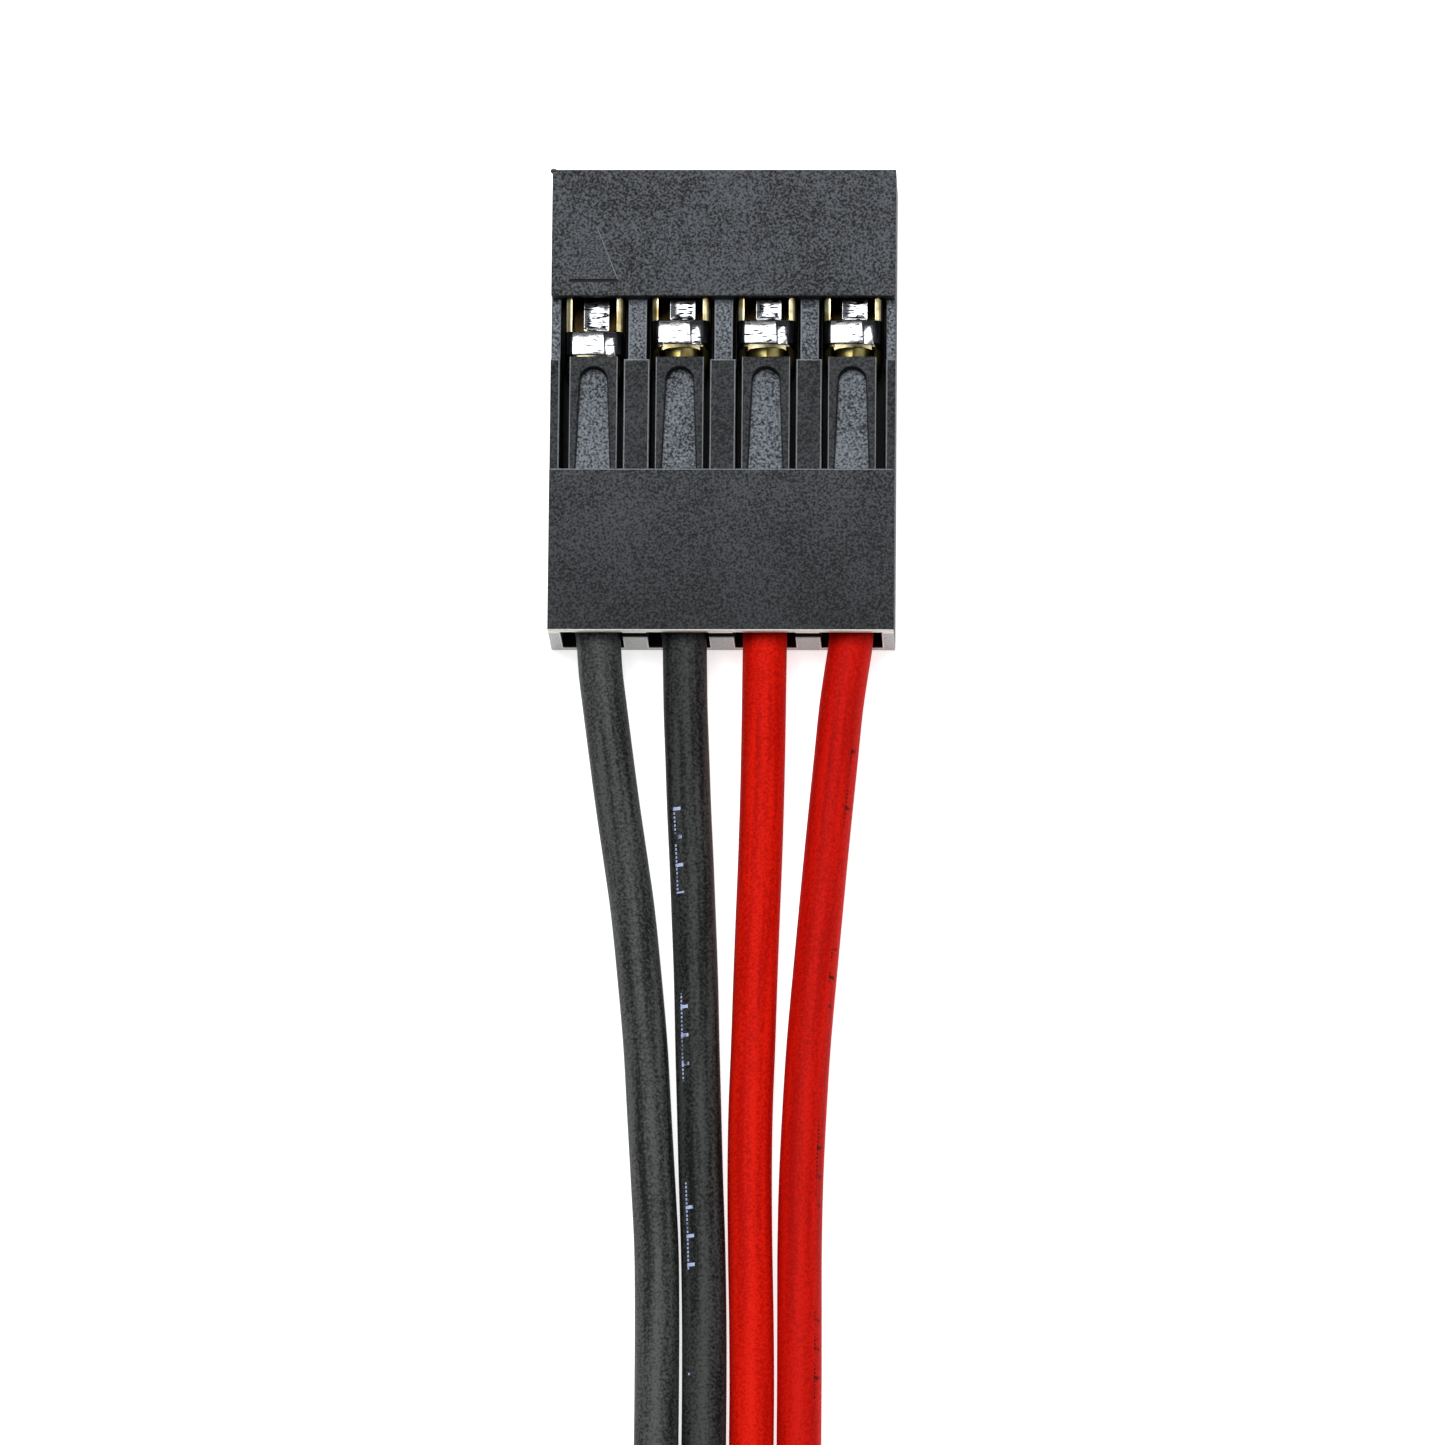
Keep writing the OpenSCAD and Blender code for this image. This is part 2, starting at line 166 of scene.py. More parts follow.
def noise(tree, place, scale, detail=2, roughness=0.5):
    """Noise from 0 to 1. The scale is grains in a metre when the place is in metres."""
    return add(tree, "ShaderNodeTexNoise", {"Vector": place, "Scale": scale, "Detail": detail,
                                            "Roughness": roughness}).outputs["Fac"]


def spread(tree, value, low, high, top=1):
    """A share that goes from 0 where the value is low to top where it is high."""
    return add(tree, "ShaderNodeMapRange", {"Value": value, "From Min": low, "From Max": high,
                                            "To Max": top}).outputs[0]


def tint(tree, share, first, second):
    """A colour between two others. Each of them is sRGB hex, or the output that feeds it."""
    first, second = [linear(end) if isinstance(end, str) else end for end in (first, second)]
    return add(tree, "ShaderNodeMix", {0: share, 6: first, 7: second}, data_type="RGBA").outputs[2]


def colour_surface(tree, surface, colour):
    """Feed a colour to the surface."""
    tree.links.new(colour, surface.inputs["Base Color"])


def raise_surface(tree, surface, height, strength, depth_mm):
    """Make the surface look raised where the height is large."""
    bump = add(tree, "ShaderNodeBump", {"Height": height, "Strength": strength, "Distance": depth_mm * MM})
    tree.links.new(bump.outputs["Normal"], surface.inputs["Normal"])


def place_in(tree):
    """The place on the object, in metres, as an output that feeds other nodes."""
    return add(tree, "ShaderNodeTexCoord").outputs["Object"]


# %% Table
GLOW = 0.65


def table_top():
    """Matt painted board that glows: the faint unevenness keeps it from looking like a void."""
    material, tree, surface = new_material("matt_painted_board", Roughness=0.7)
    cloud = noise(tree, place_in(tree), 4)
    colour_surface(tree, surface, tint(tree, cloud, "#f4f4f4", "#f6f6f6"))
    surface.inputs["Emission Color"].default_value = linear("#ffffff")
    surface.inputs["Emission Strength"].default_value = GLOW
    return material


bpy.ops.object.select_all(action="DESELECT")
bpy.ops.mesh.primitive_plane_add(size=4, location=(0, 0, -0.01 * MM))
table = bpy.context.object
table.name = "table"
table.data.materials.append(table_top())
table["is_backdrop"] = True
print("table is", table.dimensions.x, "m wide")

# %% Lights
def soft_box(name, place, width, length, watts):
    """A white area light, placed in metres, that faces the connector."""
    bpy.ops.object.light_add(type="AREA", location=place)
    lamp = bpy.context.object
    lamp.name = name
    lamp.data.shape = "RECTANGLE"
    lamp.data.size, lamp.data.size_y = width, length
    lamp.data.energy = watts
    lamp.rotation_euler = (AIM - Vector(place)).to_track_quat("-Z", "Y").to_euler()


soft_box("overhead_box", (-0.06, 0.13, 0.58), width=0.40, length=0.34, watts=3.3)
soft_box("right_strip", (0.36, -0.06, 0.40), width=0.10, length=0.50, watts=0.45)
world = bpy.data.worlds.new("studio")
world.use_nodes = True
world.node_tree.nodes["Background"].inputs["Color"].default_value = linear("#f2f4f6")
world.node_tree.nodes["Background"].inputs["Strength"].default_value = 0.22
bpy.context.scene.world = world
bpy.context.scene.view_settings.view_transform = "Standard"
print("two soft boxes and a pale world")

# %% [markdown]
# ## Leads: the route
# Each lead is 150 mm of stranded wire in PVC, 1.3 mm across. It starts in the rear crimp of its contact,
# leaves the housing straight, sinks to the table within a few diameters and runs beside its neighbours
# into a flat coil. The first stretch follows listed points, the same as in the CAD. The coil is
# worked out: every lead keeps its own radius and climbs one layer a turn, and it rises over the flat tie
# that holds the bundle.

# %% Route and coil, in millimetres
LEAD_D = 1.3
STUB_Y = -1.95
TIP_L = 4
PIN_Z = 1.27
ROUTE_Y = [-7, -8, -9, -10.5, -12, -13.5, -15, -17, -19, -21, -23, -25, -27, -29, -31, -33]
ROUTE_Z = [1.27, 1.25, 1.15, 0.95, 0.78, 0.69] + [0.66] * 10
ROUTE_X = {
    1: [-3.63, -3.55, -3.42, -3.22, -3.01, -2.78, -2.56, -2.34, -2.15, -2.02, -1.89, -1.77, -1.73, -1.72,
        -1.72, -1.72],
    2: [-1.1, -1.07, -1.05, -0.99, -0.93, -0.85, -0.78, -0.69, -0.63, -0.56, -0.49, -0.41, -0.36, -0.34,
        -0.34, -0.34],
    3: [1.27, 1.26, 1.25, 1.23, 1.2, 1.16, 1.11, 1.05, 1, 0.94, 0.93, 0.96, 1.01, 1.04, 1.04, 1.04],
    4: [3.8, 3.66, 3.52, 3.37, 3.22, 3.08, 2.95, 2.78, 2.62, 2.51, 2.43, 2.4, 2.41, 2.42, 2.42, 2.42],
}
COIL = Vector((-7.12, -44, 0))
COIL_R, LAY_PITCH, LAY_Z = 5.4, 1.38, 0.66
CLIMB_FROM, CLIMB_TO = 0.45, 0.8
FREE_L = 138.2
TIE_AT, TIE_T, TIE_GAP = 0.25, 0.35, 0.02
RING_STEP = 0.4


def ease(share):
    """Smooth step from 0 to 1."""
    share = min(max(share, 0), 1)
    return share * share * (3 - 2 * share)


def turn_r(k):
    """Radius of lead k's turns."""
    return COIL_R + (k - 1) * LAY_PITCH


def turns(k):
    """Turns that lead k makes with the length that its straight run leaves."""
    return (FREE_L - (REAR_Y - COIL.y)) / (2 * math.pi * turn_r(k))


def coil_point(k, turn):
    """Where lead k is after a number of turns."""
    layer = math.floor(turn)
    part = turn - layer
    z = LAY_Z + LAY_PITCH * (layer + ease((part - CLIMB_FROM) / (CLIMB_TO - CLIMB_FROM)))
    z += (TIE_T + TIE_GAP) * ease((0.15 - abs(part - TIE_AT)) / 0.1)
    angle = 2 * math.pi * turn
    return COIL + Vector((turn_r(k) * math.cos(angle), -turn_r(k) * math.sin(angle), z))


def through(points, step):
    """A smooth line through given points, as points about one step apart."""
    line = []
    for i in range(len(points) - 1):
        a, b = points[max(i - 1, 0)], points[i]
        c, d = points[i + 1], points[min(i + 2, len(points) - 1)]
        span = (c - b).length
        leave = (c - a) * span / (c - a).length
        arrive = (d - b) * span / (d - b).length
        count = max(1, round(span / step))
        for n in range(count):
            t = n / count
            line.append(b * (2 * t ** 3 - 3 * t ** 2 + 1) + leave * (t ** 3 - 2 * t ** 2 + t)
                        + c * (3 * t ** 2 - 2 * t ** 3) + arrive * (t ** 3 - t ** 2))
    return line + [points[-1]]


def lead_line(k):
    """The middle line of lead k, from its crimp to the end of its insulation."""
    # Inside the housing it runs straight, and leans towards its way out over the last two millimetres
    stub = [Vector((WAY[k].x, y, PIN_Z)) for y in (STUB_Y + WAY[k].y, -3.5, -5)]
    stub.append(Vector((WAY[k].x * 0.8 + ROUTE_X[k][0] * 0.2, -6, PIN_Z)))
    route = [Vector(p) for p in zip(ROUTE_X[k], ROUTE_Y, ROUTE_Z)]
    start = coil_point(k, 0)
    route += [Vector((start.x, y, start.z)) for y in (-36, -40)]
    count = round(turns(k) * 2 * math.pi * turn_r(k) / RING_STEP)
    coil = [coil_point(k, turns(k) * n / count) for n in range(count + 1)]
    return through(stub + route + [start], RING_STEP)[:-1] + coil


LINES = {k: lead_line(k) for k in WAYS}
for k in WAYS:
    length = sum((b - a).length for a, b in zip(LINES[k], LINES[k][1:]))
    print(f"lead {k}: {turns(k):.2f} turns, {length:.1f} mm of insulation")

# %% [markdown]
# ## Leads: a tube that follows a line
# A tube could be a curve with a bevel. A mesh tube is used here because its own UV map can run round the
# lead and along it in millimetres. Stripes and printed marks then follow every bend.

# %% Tube
def tube_data(line, radius, sides):
    """Corners, faces and UV of a closed tube. U runs once round it, and V along it in millimetres."""
    corners, along = [], [0]
    for i, point in enumerate(line):
        ahead = (line[min(i + 1, len(line) - 1)] - line[max(i - 1, 0)]).normalized()
        across = ahead.cross(Vector((0, 0, 1))).normalized()
        lift = across.cross(ahead)
        for s in range(sides):
            angle = 2 * math.pi * s / sides
            corners.append(point + radius * (math.cos(angle) * across + math.sin(angle) * lift))
        if i:
            along.append(along[-1] + (point - line[i - 1]).length)
    faces, maps = [], []
    for i in range(len(line) - 1):
        for s in range(sides):
            t = (s + 1) % sides
            faces.append([i * sides + s, (i + 1) * sides + s, (i + 1) * sides + t, i * sides + t])
            maps.append([(s / sides, along[i]), (s / sides, along[i + 1]),
                         ((s + 1) / sides, along[i + 1]), ((s + 1) / sides, along[i])])
    last = (len(line) - 1) * sides
    faces += [list(range(sides)), list(range(last + sides - 1, last - 1, -1))]
    maps += [[(s / sides, 0) for s in range(sides)],
             [(s / sides, along[-1]) for s in range(sides - 1, -1, -1)]]
    return corners, faces, maps


def mesh_object(name, corners, faces):
    """A mesh object made of corners and faces."""
    mesh = bpy.data.meshes.new(name)
    mesh.from_pydata(corners, [], faces)
    obj = bpy.data.objects.new(name, mesh)
    bpy.context.scene.collection.objects.link(obj)
    return obj


def tubes(name, lines, radius, sides):
    """One mesh object made of a tube along each line, in millimetres."""
    corners, faces, maps = [], [], []
    for line in lines:
        new_corners, new_faces, new_maps = tube_data(line, radius, sides)
        faces += [[v + len(corners) for v in face] for face in new_faces]
        corners += new_corners
        maps += new_maps
    obj = mesh_object(name, corners, faces)
    layer = obj.data.uv_layers.new(name="round_and_along")
    for face, spots in zip(obj.data.polygons, maps):
        for loop, spot in zip(face.loop_indices, spots):
            layer.data[loop].uv = spot
    return obj


def only(obj):
    """Select one object and make it active."""
    bpy.ops.object.select_all(action="DESELECT")
    obj.select_set(True)
    bpy.context.view_layer.objects.active = obj


def to_metres(obj, smooth_under=35):
    """Bring a finished piece from millimetres to metres, with its place in its mesh."""
    only(obj)
    bpy.ops.object.transform_apply(location=True, rotation=True, scale=True)
    obj.scale = (MM, MM, MM)
    bpy.ops.object.transform_apply(location=True, rotation=True, scale=True)
    bpy.ops.object.shade_smooth_by_angle(angle=math.radians(smooth_under))
    return obj


leads = {}
for k in WAYS:
    leads[k] = to_metres(tubes(f"insulated_lead_{k}", [LINES[k]], LEAD_D / 2, 24))
    print(leads[k].name, len(leads[k].data.polygons), "faces")

# %% [markdown]
# ## Leads: PVC insulation
# Extruded PVC is smooth but never quite even: it has faint lines along its length from the die and a soft
# orange-peel. It reflects softly, so a lead shows a broad pale band and no sharp line of light. One of the
# black leads carries the pale dots and dashes of an ink-jet marker, and one red lead has worn dark ones.
# They are plain dashes with no lettering.

# %% PVC
def pvc(name, deep, pale, roughness, specular):
    """Extruded PVC: colour varies a little in long streaks, and the surface has a fine orange-peel."""
    material, tree, surface = new_material(name, Roughness=roughness, Specular_IOR_Level=specular, IOR=1.53)
    along = add(tree, "ShaderNodeUVMap", uv_map="round_and_along").outputs["UV"]
    # A streak is 0.3 mm across and 6 mm long. Round the lead 4.1 mm make one unit of U.
    long_way = add(tree, "ShaderNodeMapping", {"Vector": along, "Scale": (13, 1 / 6, 1)})
    streak = noise(tree, long_way.outputs["Vector"], 1, detail=3)
    # Grains of 0.08 mm, coarser than real PVC so that they show at this distance
    grain = noise(tree, place_in(tree), 1 / (0.08 * MM))
    both = add(tree, "ShaderNodeMath", {0: streak, 1: grain}, operation="ADD").outputs[0]
    raise_surface(tree, surface, both, 0.25, 0.02)
    return material, tree, surface, along, tint(tree, spread(tree, both, 0.82, 1.18), deep, pale)


def plain_pvc(name, deep, pale, roughness, specular):
    """PVC with nothing printed on it."""
    material, tree, surface, along, colour = pvc(name, deep, pale, roughness, specular)
    colour_surface(tree, surface, colour)
    return material


def marked_pvc(name, deep, pale, roughness, specular, ink, side, start, end, wear):
    """PVC with a broken row of ink dashes along one side, from start to end in mm along the lead.

    side is the share of a turn at which the row lies. More of the ink is gone the higher wear is.
    """
    material, tree, surface, along, colour = pvc(name, deep, pale, roughness, specular)
    parts = add(tree, "ShaderNodeSeparateXYZ", {"Vector": along})

    def both_of(a, b, operation="MULTIPLY"):
        """Two masks or values put together."""
        return add(tree, "ShaderNodeMath", {0: a, 1: b}, operation=operation).outputs[0]

    def window(value, low, high):
        """1 where the value lies between low and high."""
        return both_of(both_of(value, low, "GREATER_THAN"), both_of(value, high, "LESS_THAN"))

    # Dots of 0.07 mm in a row, with a short cross bar every 0.85 mm, in groups of 2.6 mm every 5.6 mm
    dots = window(both_of(parts.outputs["Y"], 0.12, "MODULO"), 0, 0.07)
    row = window(parts.outputs["X"], side - 0.007, side + 0.007)
    shifted = both_of(parts.outputs["Y"], start, "SUBTRACT")
    groups = window(both_of(shifted, 5.6, "MODULO"), 0, 2.6)
    bars = window(both_of(shifted, 0.85, "MODULO"), 0, 0.1)
    bar_row = window(parts.outputs["X"], side - 0.009, side + 0.055)
    marks = both_of(both_of(dots, row), both_of(bars, bar_row), "MAXIMUM")
    marks = both_of(both_of(marks, groups), window(parts.outputs["Y"], start, end))
    kept = spread(tree, noise(tree, place_in(tree), 1 / (0.5 * MM)), wear - 0.06, wear + 0.06)
    colour_surface(tree, surface, tint(tree, both_of(marks, kept), colour, ink))
    return material


# The two marked leads are from darker batches than the plain ones beside them
LEAD_FINISH = {
    1: plain_pvc("black_pvc", "#181919", "#4d4f4e", roughness=0.55, specular=0.14),
    2: marked_pvc("black_pvc_with_pale_ink", "#131414", "#404241", roughness=0.55, specular=0.1,
                  ink="#b3c1e8", side=0.135, start=10.05, end=27, wear=0.4),
    3: plain_pvc("red_pvc", "#b20b03", "#dc1a09", roughness=0.6, specular=0.04),
    4: marked_pvc("red_pvc_with_worn_ink", "#a60a03", "#cc1407", roughness=0.6, specular=0.05,
                  ink="#5a0806", side=0.375, start=8.3, end=30, wear=0.46),
}
for k in WAYS:
    leads[k].data.materials.append(LEAD_FINISH[k])
print("materials:", [leads[k].data.materials[0].name for k in WAYS])

# %% [markdown]
# ## Leads: tinned tips
# The far end of each lead is stripped for 4 mm and dipped in solder. Seven strands lie in a slow twist,
# six round one, and the solder leaves them bright and a little lumpy. The same twist of bare copper lies
# in the wire crimp at the other end.

# %% Strands
STRAND_D = 0.165


def strand_lines(line, lay=6):
    """Seven strands round a middle line, with one full twist every lay millimetres."""
    lines = [list(line)]
    for s in range(6):
        strand, gone = [], 0
        for i, point in enumerate(line):
            ahead = (line[min(i + 1, len(line) - 1)] - line[max(i - 1, 0)]).normalized()
            across = ahead.cross(Vector((0, 0, 1))).normalized()
            gone += (point - line[i - 1]).length if i else 0
            turned = Quaternion(ahead, 2 * math.pi * (s / 6 + gone / lay)) @ across
            strand.append(point + turned * STRAND_D)
        lines.append(strand)
    return lines


def straight(start, end, step=0.25):
    """Points along a straight line."""
    count = max(1, round((end - start).length / step))
    return [start.lerp(end, n / count) for n in range(count + 1)]


def metal(name, colour, stain, roughness, grain_mm, bump):
    """A bare metal: its colour varies with thin stains, and fine dents break up its reflections."""
    material, tree, surface = new_material(name, Metallic=1, Roughness=roughness)
    place = place_in(tree)
    stained = spread(tree, noise(tree, place, 1 / (4 * grain_mm * MM), detail=3), 0.45, 0.7)
    colour_surface(tree, surface, tint(tree, stained, colour, stain))
    raise_surface(tree, surface, noise(tree, place, 1 / (grain_mm * MM)), bump, 0.02)
    return material


TINNED = metal("tinned_copper", "#d6d7d8", "#a9aaab", roughness=0.25, grain_mm=0.2, bump=0.4)
COPPER = metal("bare_copper", "#c98552", "#8f5a3a", roughness=0.3, grain_mm=0.15, bump=0.3)
tips = {}
for k in WAYS:
    end = LINES[k][-1]
    ahead = (end - LINES[k][-2]).normalized()
    ahead.z = 0
    line = straight(end - ahead * 0.3, end + ahead.normalized() * TIP_L)
    tips[k] = to_metres(tubes(f"tinned_tip_{k}", strand_lines(line), STRAND_D / 2, 8))
    tips[k].data.materials.append(TINNED)
print("tips:", len(tips[1].data.polygons), "faces each")

# %% [markdown]
# ## Working in edit mode from a script
# These helpers do what the hand does: start from a block of the right size and place, select the faces
# or edges that lie in the right place, extrude an open rim to its next section, round edges, and turn a
# thin skin into sheet. A clean copy of a CAD node is a start too, where a shape has to stay as it is.

# %% Modelling helpers
def block(name, low, high):
    """A block between two corners, as a start for a piece."""
    bpy.ops.object.select_all(action="DESELECT")
    low, high = Vector(low), Vector(high)
    bpy.ops.mesh.primitive_cube_add(size=1, location=(low + high) / 2)
    obj = bpy.context.object
    obj.name = name
    obj.scale = high - low
    bpy.ops.object.transform_apply(location=True, rotation=True, scale=True)
    return obj


def edit(obj, mode="FACE"):
    """Open a piece in edit mode with nothing selected."""
    only(obj)
    bpy.ops.object.mode_set(mode="EDIT")
    bpy.ops.mesh.select_mode(type=mode)
    bpy.ops.mesh.select_all(action="DESELECT")


def close():
    """Leave edit mode."""
    bpy.ops.object.mode_set(mode="OBJECT")


def pick(obj, test, kind="faces"):
    """Select the faces whose middle and normal pass the test, or the edges whose two ends do."""
    mesh = bmesh.from_edit_mesh(obj.data)
    bpy.ops.mesh.select_all(action="DESELECT")
    for part in getattr(mesh, kind):
        if kind == "faces":
            part.select_set(test(part.calc_center_median(), part.normal))
        else:
            part.select_set(test(part.verts[0].co, part.verts[1].co))
    mesh.select_flush_mode()
    bmesh.update_edit_mesh(obj.data)


def next_section(obj, y, half, low, high):
    """Extrude the selected rim to y, and give it a new half width, bottom and top."""
    bpy.ops.mesh.extrude_region_move()
    spots = [v.co for v in bmesh.from_edit_mesh(obj.data).verts if v.select]
    width = max(s.x for s in spots) - min(s.x for s in spots)
    bottom, top = min(s.z for s in spots), max(s.z for s in spots)
    bpy.ops.transform.resize(value=(2 * half / width, 1, (high - low) / (top - bottom)),
                             center_override=(0, spots[0].y, bottom))
    bpy.ops.transform.translate(value=(0, y - spots[0].y, low - bottom))


def modify(obj, kind, **settings):
    """Add a modifier to a piece and apply it."""
    only(obj)
    modifier = obj.modifiers.new(kind, kind)
    for name, value in settings.items():
        setattr(modifier, name, value)
    bpy.ops.object.modifier_apply(modifier=kind)


def round_edges(obj, width, segments=2, angle=30):
    """Round every edge that is sharper than the angle."""
    modify(obj, "BEVEL", width=width, segments=segments, limit_method="ANGLE",
           angle_limit=math.radians(angle))


def cut_away(obj, test):
    """Delete the faces whose middle and normal pass the test."""
    pick(obj, test)
    bpy.ops.mesh.delete(type="FACE")


def thicken(obj, thickness, radius, angle=30, offset=-1):
    """Turn the thin skin in edit mode into sheet, inwards or with offset 1 outwards, with round edges."""
    bpy.ops.mesh.select_all(action="SELECT")
    bpy.ops.mesh.normals_make_consistent(inside=False)
    close()
    modify(obj, "SOLIDIFY", thickness=thickness, offset=offset)
    round_edges(obj, radius, angle=angle)


def round_where(obj, width, test, segments=2):
    """Round only the outward edges, sharper than 30 degrees, whose two ends pass the test."""
    edit(obj, "EDGE")
    mesh = bmesh.from_edit_mesh(obj.data)
    count = 0
    for edge in mesh.edges:
        outward = len(edge.link_faces) == 2 and edge.calc_face_angle_signed(0) > math.radians(30)
        edge.select_set(outward and test(edge.verts[0].co, edge.verts[1].co))
        count += edge.select
    bmesh.update_edit_mesh(obj.data)
    bpy.ops.mesh.bevel(offset=width, segments=segments, affect="EDGES", clamp_overlap=False)
    close()
    print("rounded", count, "edges of", obj.name)


def keep_flats(obj):
    """Shade large faces as flat, so that only the radii beside them look round."""
    modify(obj, "WEIGHTED_NORMAL", keep_sharp=True)
    return obj


def cad_copy(node, name, merge=0.001):
    """A clean copy of a CAD node in millimetres: corners merged, and flat stretches made one face."""
    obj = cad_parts[node].copy()
    obj.data = obj.data.copy()
    for key in list(obj.keys()):
        del obj[key]
    obj.name = name
    obj.parent = None
    bpy.context.scene.collection.objects.link(obj)
    obj.data.materials.clear()
    obj.scale = (1 / MM, 1 / MM, 1 / MM)
    only(obj)
    bpy.ops.object.transform_apply(location=True, rotation=True, scale=True)
    edit(obj, "VERT")
    bpy.ops.mesh.select_all(action="SELECT")
    bpy.ops.mesh.remove_doubles(threshold=merge)
    bpy.ops.mesh.dissolve_limited(angle_limit=math.radians(1))
    close()
    return obj


def paint(obj, materials, choose):
    """Give each face the material that choose returns for its middle and normal."""
    obj.data.materials.clear()
    for material in materials:
        obj.data.materials.append(material)
    for face in obj.data.polygons:
        face.material_index = materials.index(choose(face.center, face.normal))


def each_way(master, name, body, node):
    """Copy a finished master to every way, each with its own mesh, and remove the master."""
    print(name, "x", len(WAYS), "with", len(master.data.polygons), "faces each")
    for k in WAYS:
        piece = master.copy()
        piece.data = master.data.copy()
        piece.name = piece.data.name = f"{name}_{k}"
        bpy.context.scene.collection.objects.link(piece)
        piece.data.transform(Matrix.Translation(WAY[k] * MM))
        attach(piece, f"{body}_{k}")
        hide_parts(f"{node}_{k}")
    bpy.data.objects.remove(master)


# %% [markdown]
# ## Coil tie
# The bundle is held by a flat plastic twist tie with a wire in its middle. It goes once round the four
# leads at the far side of the coil, and its two ends are twisted together outside. The band is a ribbon
# that follows the bundle's section, thickened into a strip. The tail is two ends wound round each other.

# %% Tie
TIE_W, BAND_T, CORE_HALF, CORE_RISE = 3, 0.28, 0.25, 0.08
TAIL_L, TAIL_D, TAIL_TURNS, TAIL_STEPS = 5, 1.1, 2.2, 40
END_R = 0.26


def rounded(corners, radius, steps=5):
    """A closed outline with each corner replaced by an arc-like curve."""
    points = []
    for i, corner in enumerate(corners):
        before = (corners[i - 1] - corner).normalized() * radius
        after = (corners[(i + 1) % len(corners)] - corner).normalized() * radius
        for n in range(steps + 1):
            t = n / steps
            points.append(corner + before * (1 - t) ** 2 + after * t ** 2)
    return points


def band():
    """The band round the bundle: an outline in Y and Z, drawn out along X and thickened."""
    inner, outer = turn_r(1) - LAY_PITCH / 2, turn_r(4) + LAY_PITCH / 2
    shoulder = turn_r(2) + LAY_PITCH / 2
    outline = rounded([Vector((inner, TIE_T)), Vector((inner, TIE_T + 3 * LAY_PITCH)),
                       Vector((shoulder, TIE_T + 3 * LAY_PITCH)), Vector((outer, TIE_T + 2 * LAY_PITCH)),
                       Vector((outer, TIE_T))], 0.5)
    ribs = [-TIE_W / 2, -CORE_HALF, 0, CORE_HALF, TIE_W / 2]
    bulge = [0, 0, CORE_RISE, 0, 0]
    middle = sum(outline, Vector((0, 0))) / len(outline)
    corners = []
    for point in outline:
        away = (point - middle).normalized()
        for x, rise in zip(ribs, bulge):
            spot = point + away * rise
            corners.append(Vector((COIL.x + x, COIL.y - spot.x, spot.y)))
    wide = len(ribs)
    faces = []
    for i in range(len(outline)):
        j = (i + 1) % len(outline)
        for s in range(wide - 1):
            faces.append([i * wide + s, i * wide + s + 1, j * wide + s + 1, j * wide + s])
    obj = mesh_object("tie_band", corners, faces)
    edit(obj)
    thicken(obj, BAND_T, 0.08, offset=1)
    return obj


def tail():
    """The two ends of the tie, wound round each other."""
    start = Vector((COIL.x, COIL.y - turn_r(4) - LAY_PITCH / 2 - 0.1, TAIL_D / 2 + 0.5))
    ends = []
    for side in (0, math.pi):
        line = []
        for n in range(TAIL_STEPS + 1):
            share = n / TAIL_STEPS
            angle = side + 2 * math.pi * TAIL_TURNS * share
            reach = (END_R + 0.01) * ease(share * 5)
            line.append(start + Vector((reach * math.cos(angle), -TAIL_L * share, reach * math.sin(angle))))
        ends.append(line)
    return tubes("tie_tail", ends, END_R, 12)


tie_band, tie_tail = to_metres(band()), to_metres(tail())
only(tie_band)
tie_tail.select_set(True)
bpy.ops.object.join()
tie = bpy.context.object
tie.name = "twist_tie"
if not tie.data.uv_layers:
    tie.data.uv_layers.new(name="round_and_along")
tie.data.materials.append(plain_pvc("black_tie_vinyl", "#1a1b1d", "#26282a", roughness=0.5, specular=0.4))
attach(tie, "housing")
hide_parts("coil_tie")
print("tie:", len(tie.data.polygons), "faces")

# %% [markdown]
# ## Leads: their meshes and tips
# A lead is held by its contact's crimp at one end and lies still outside the housing. Its mesh, with
# 143 mm of insulation, keeps the place it was built in, and its tip goes with the housing.

for k in WAYS:
    lead, line = leads[k], [p * MM for p in LINES[k]]
    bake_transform(lead)
    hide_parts(f"lead_{k}", f"crimped_lead_{k}")
    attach(tips[k], "housing")
    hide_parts(f"lead_tip_{k}")
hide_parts("lead_coil")
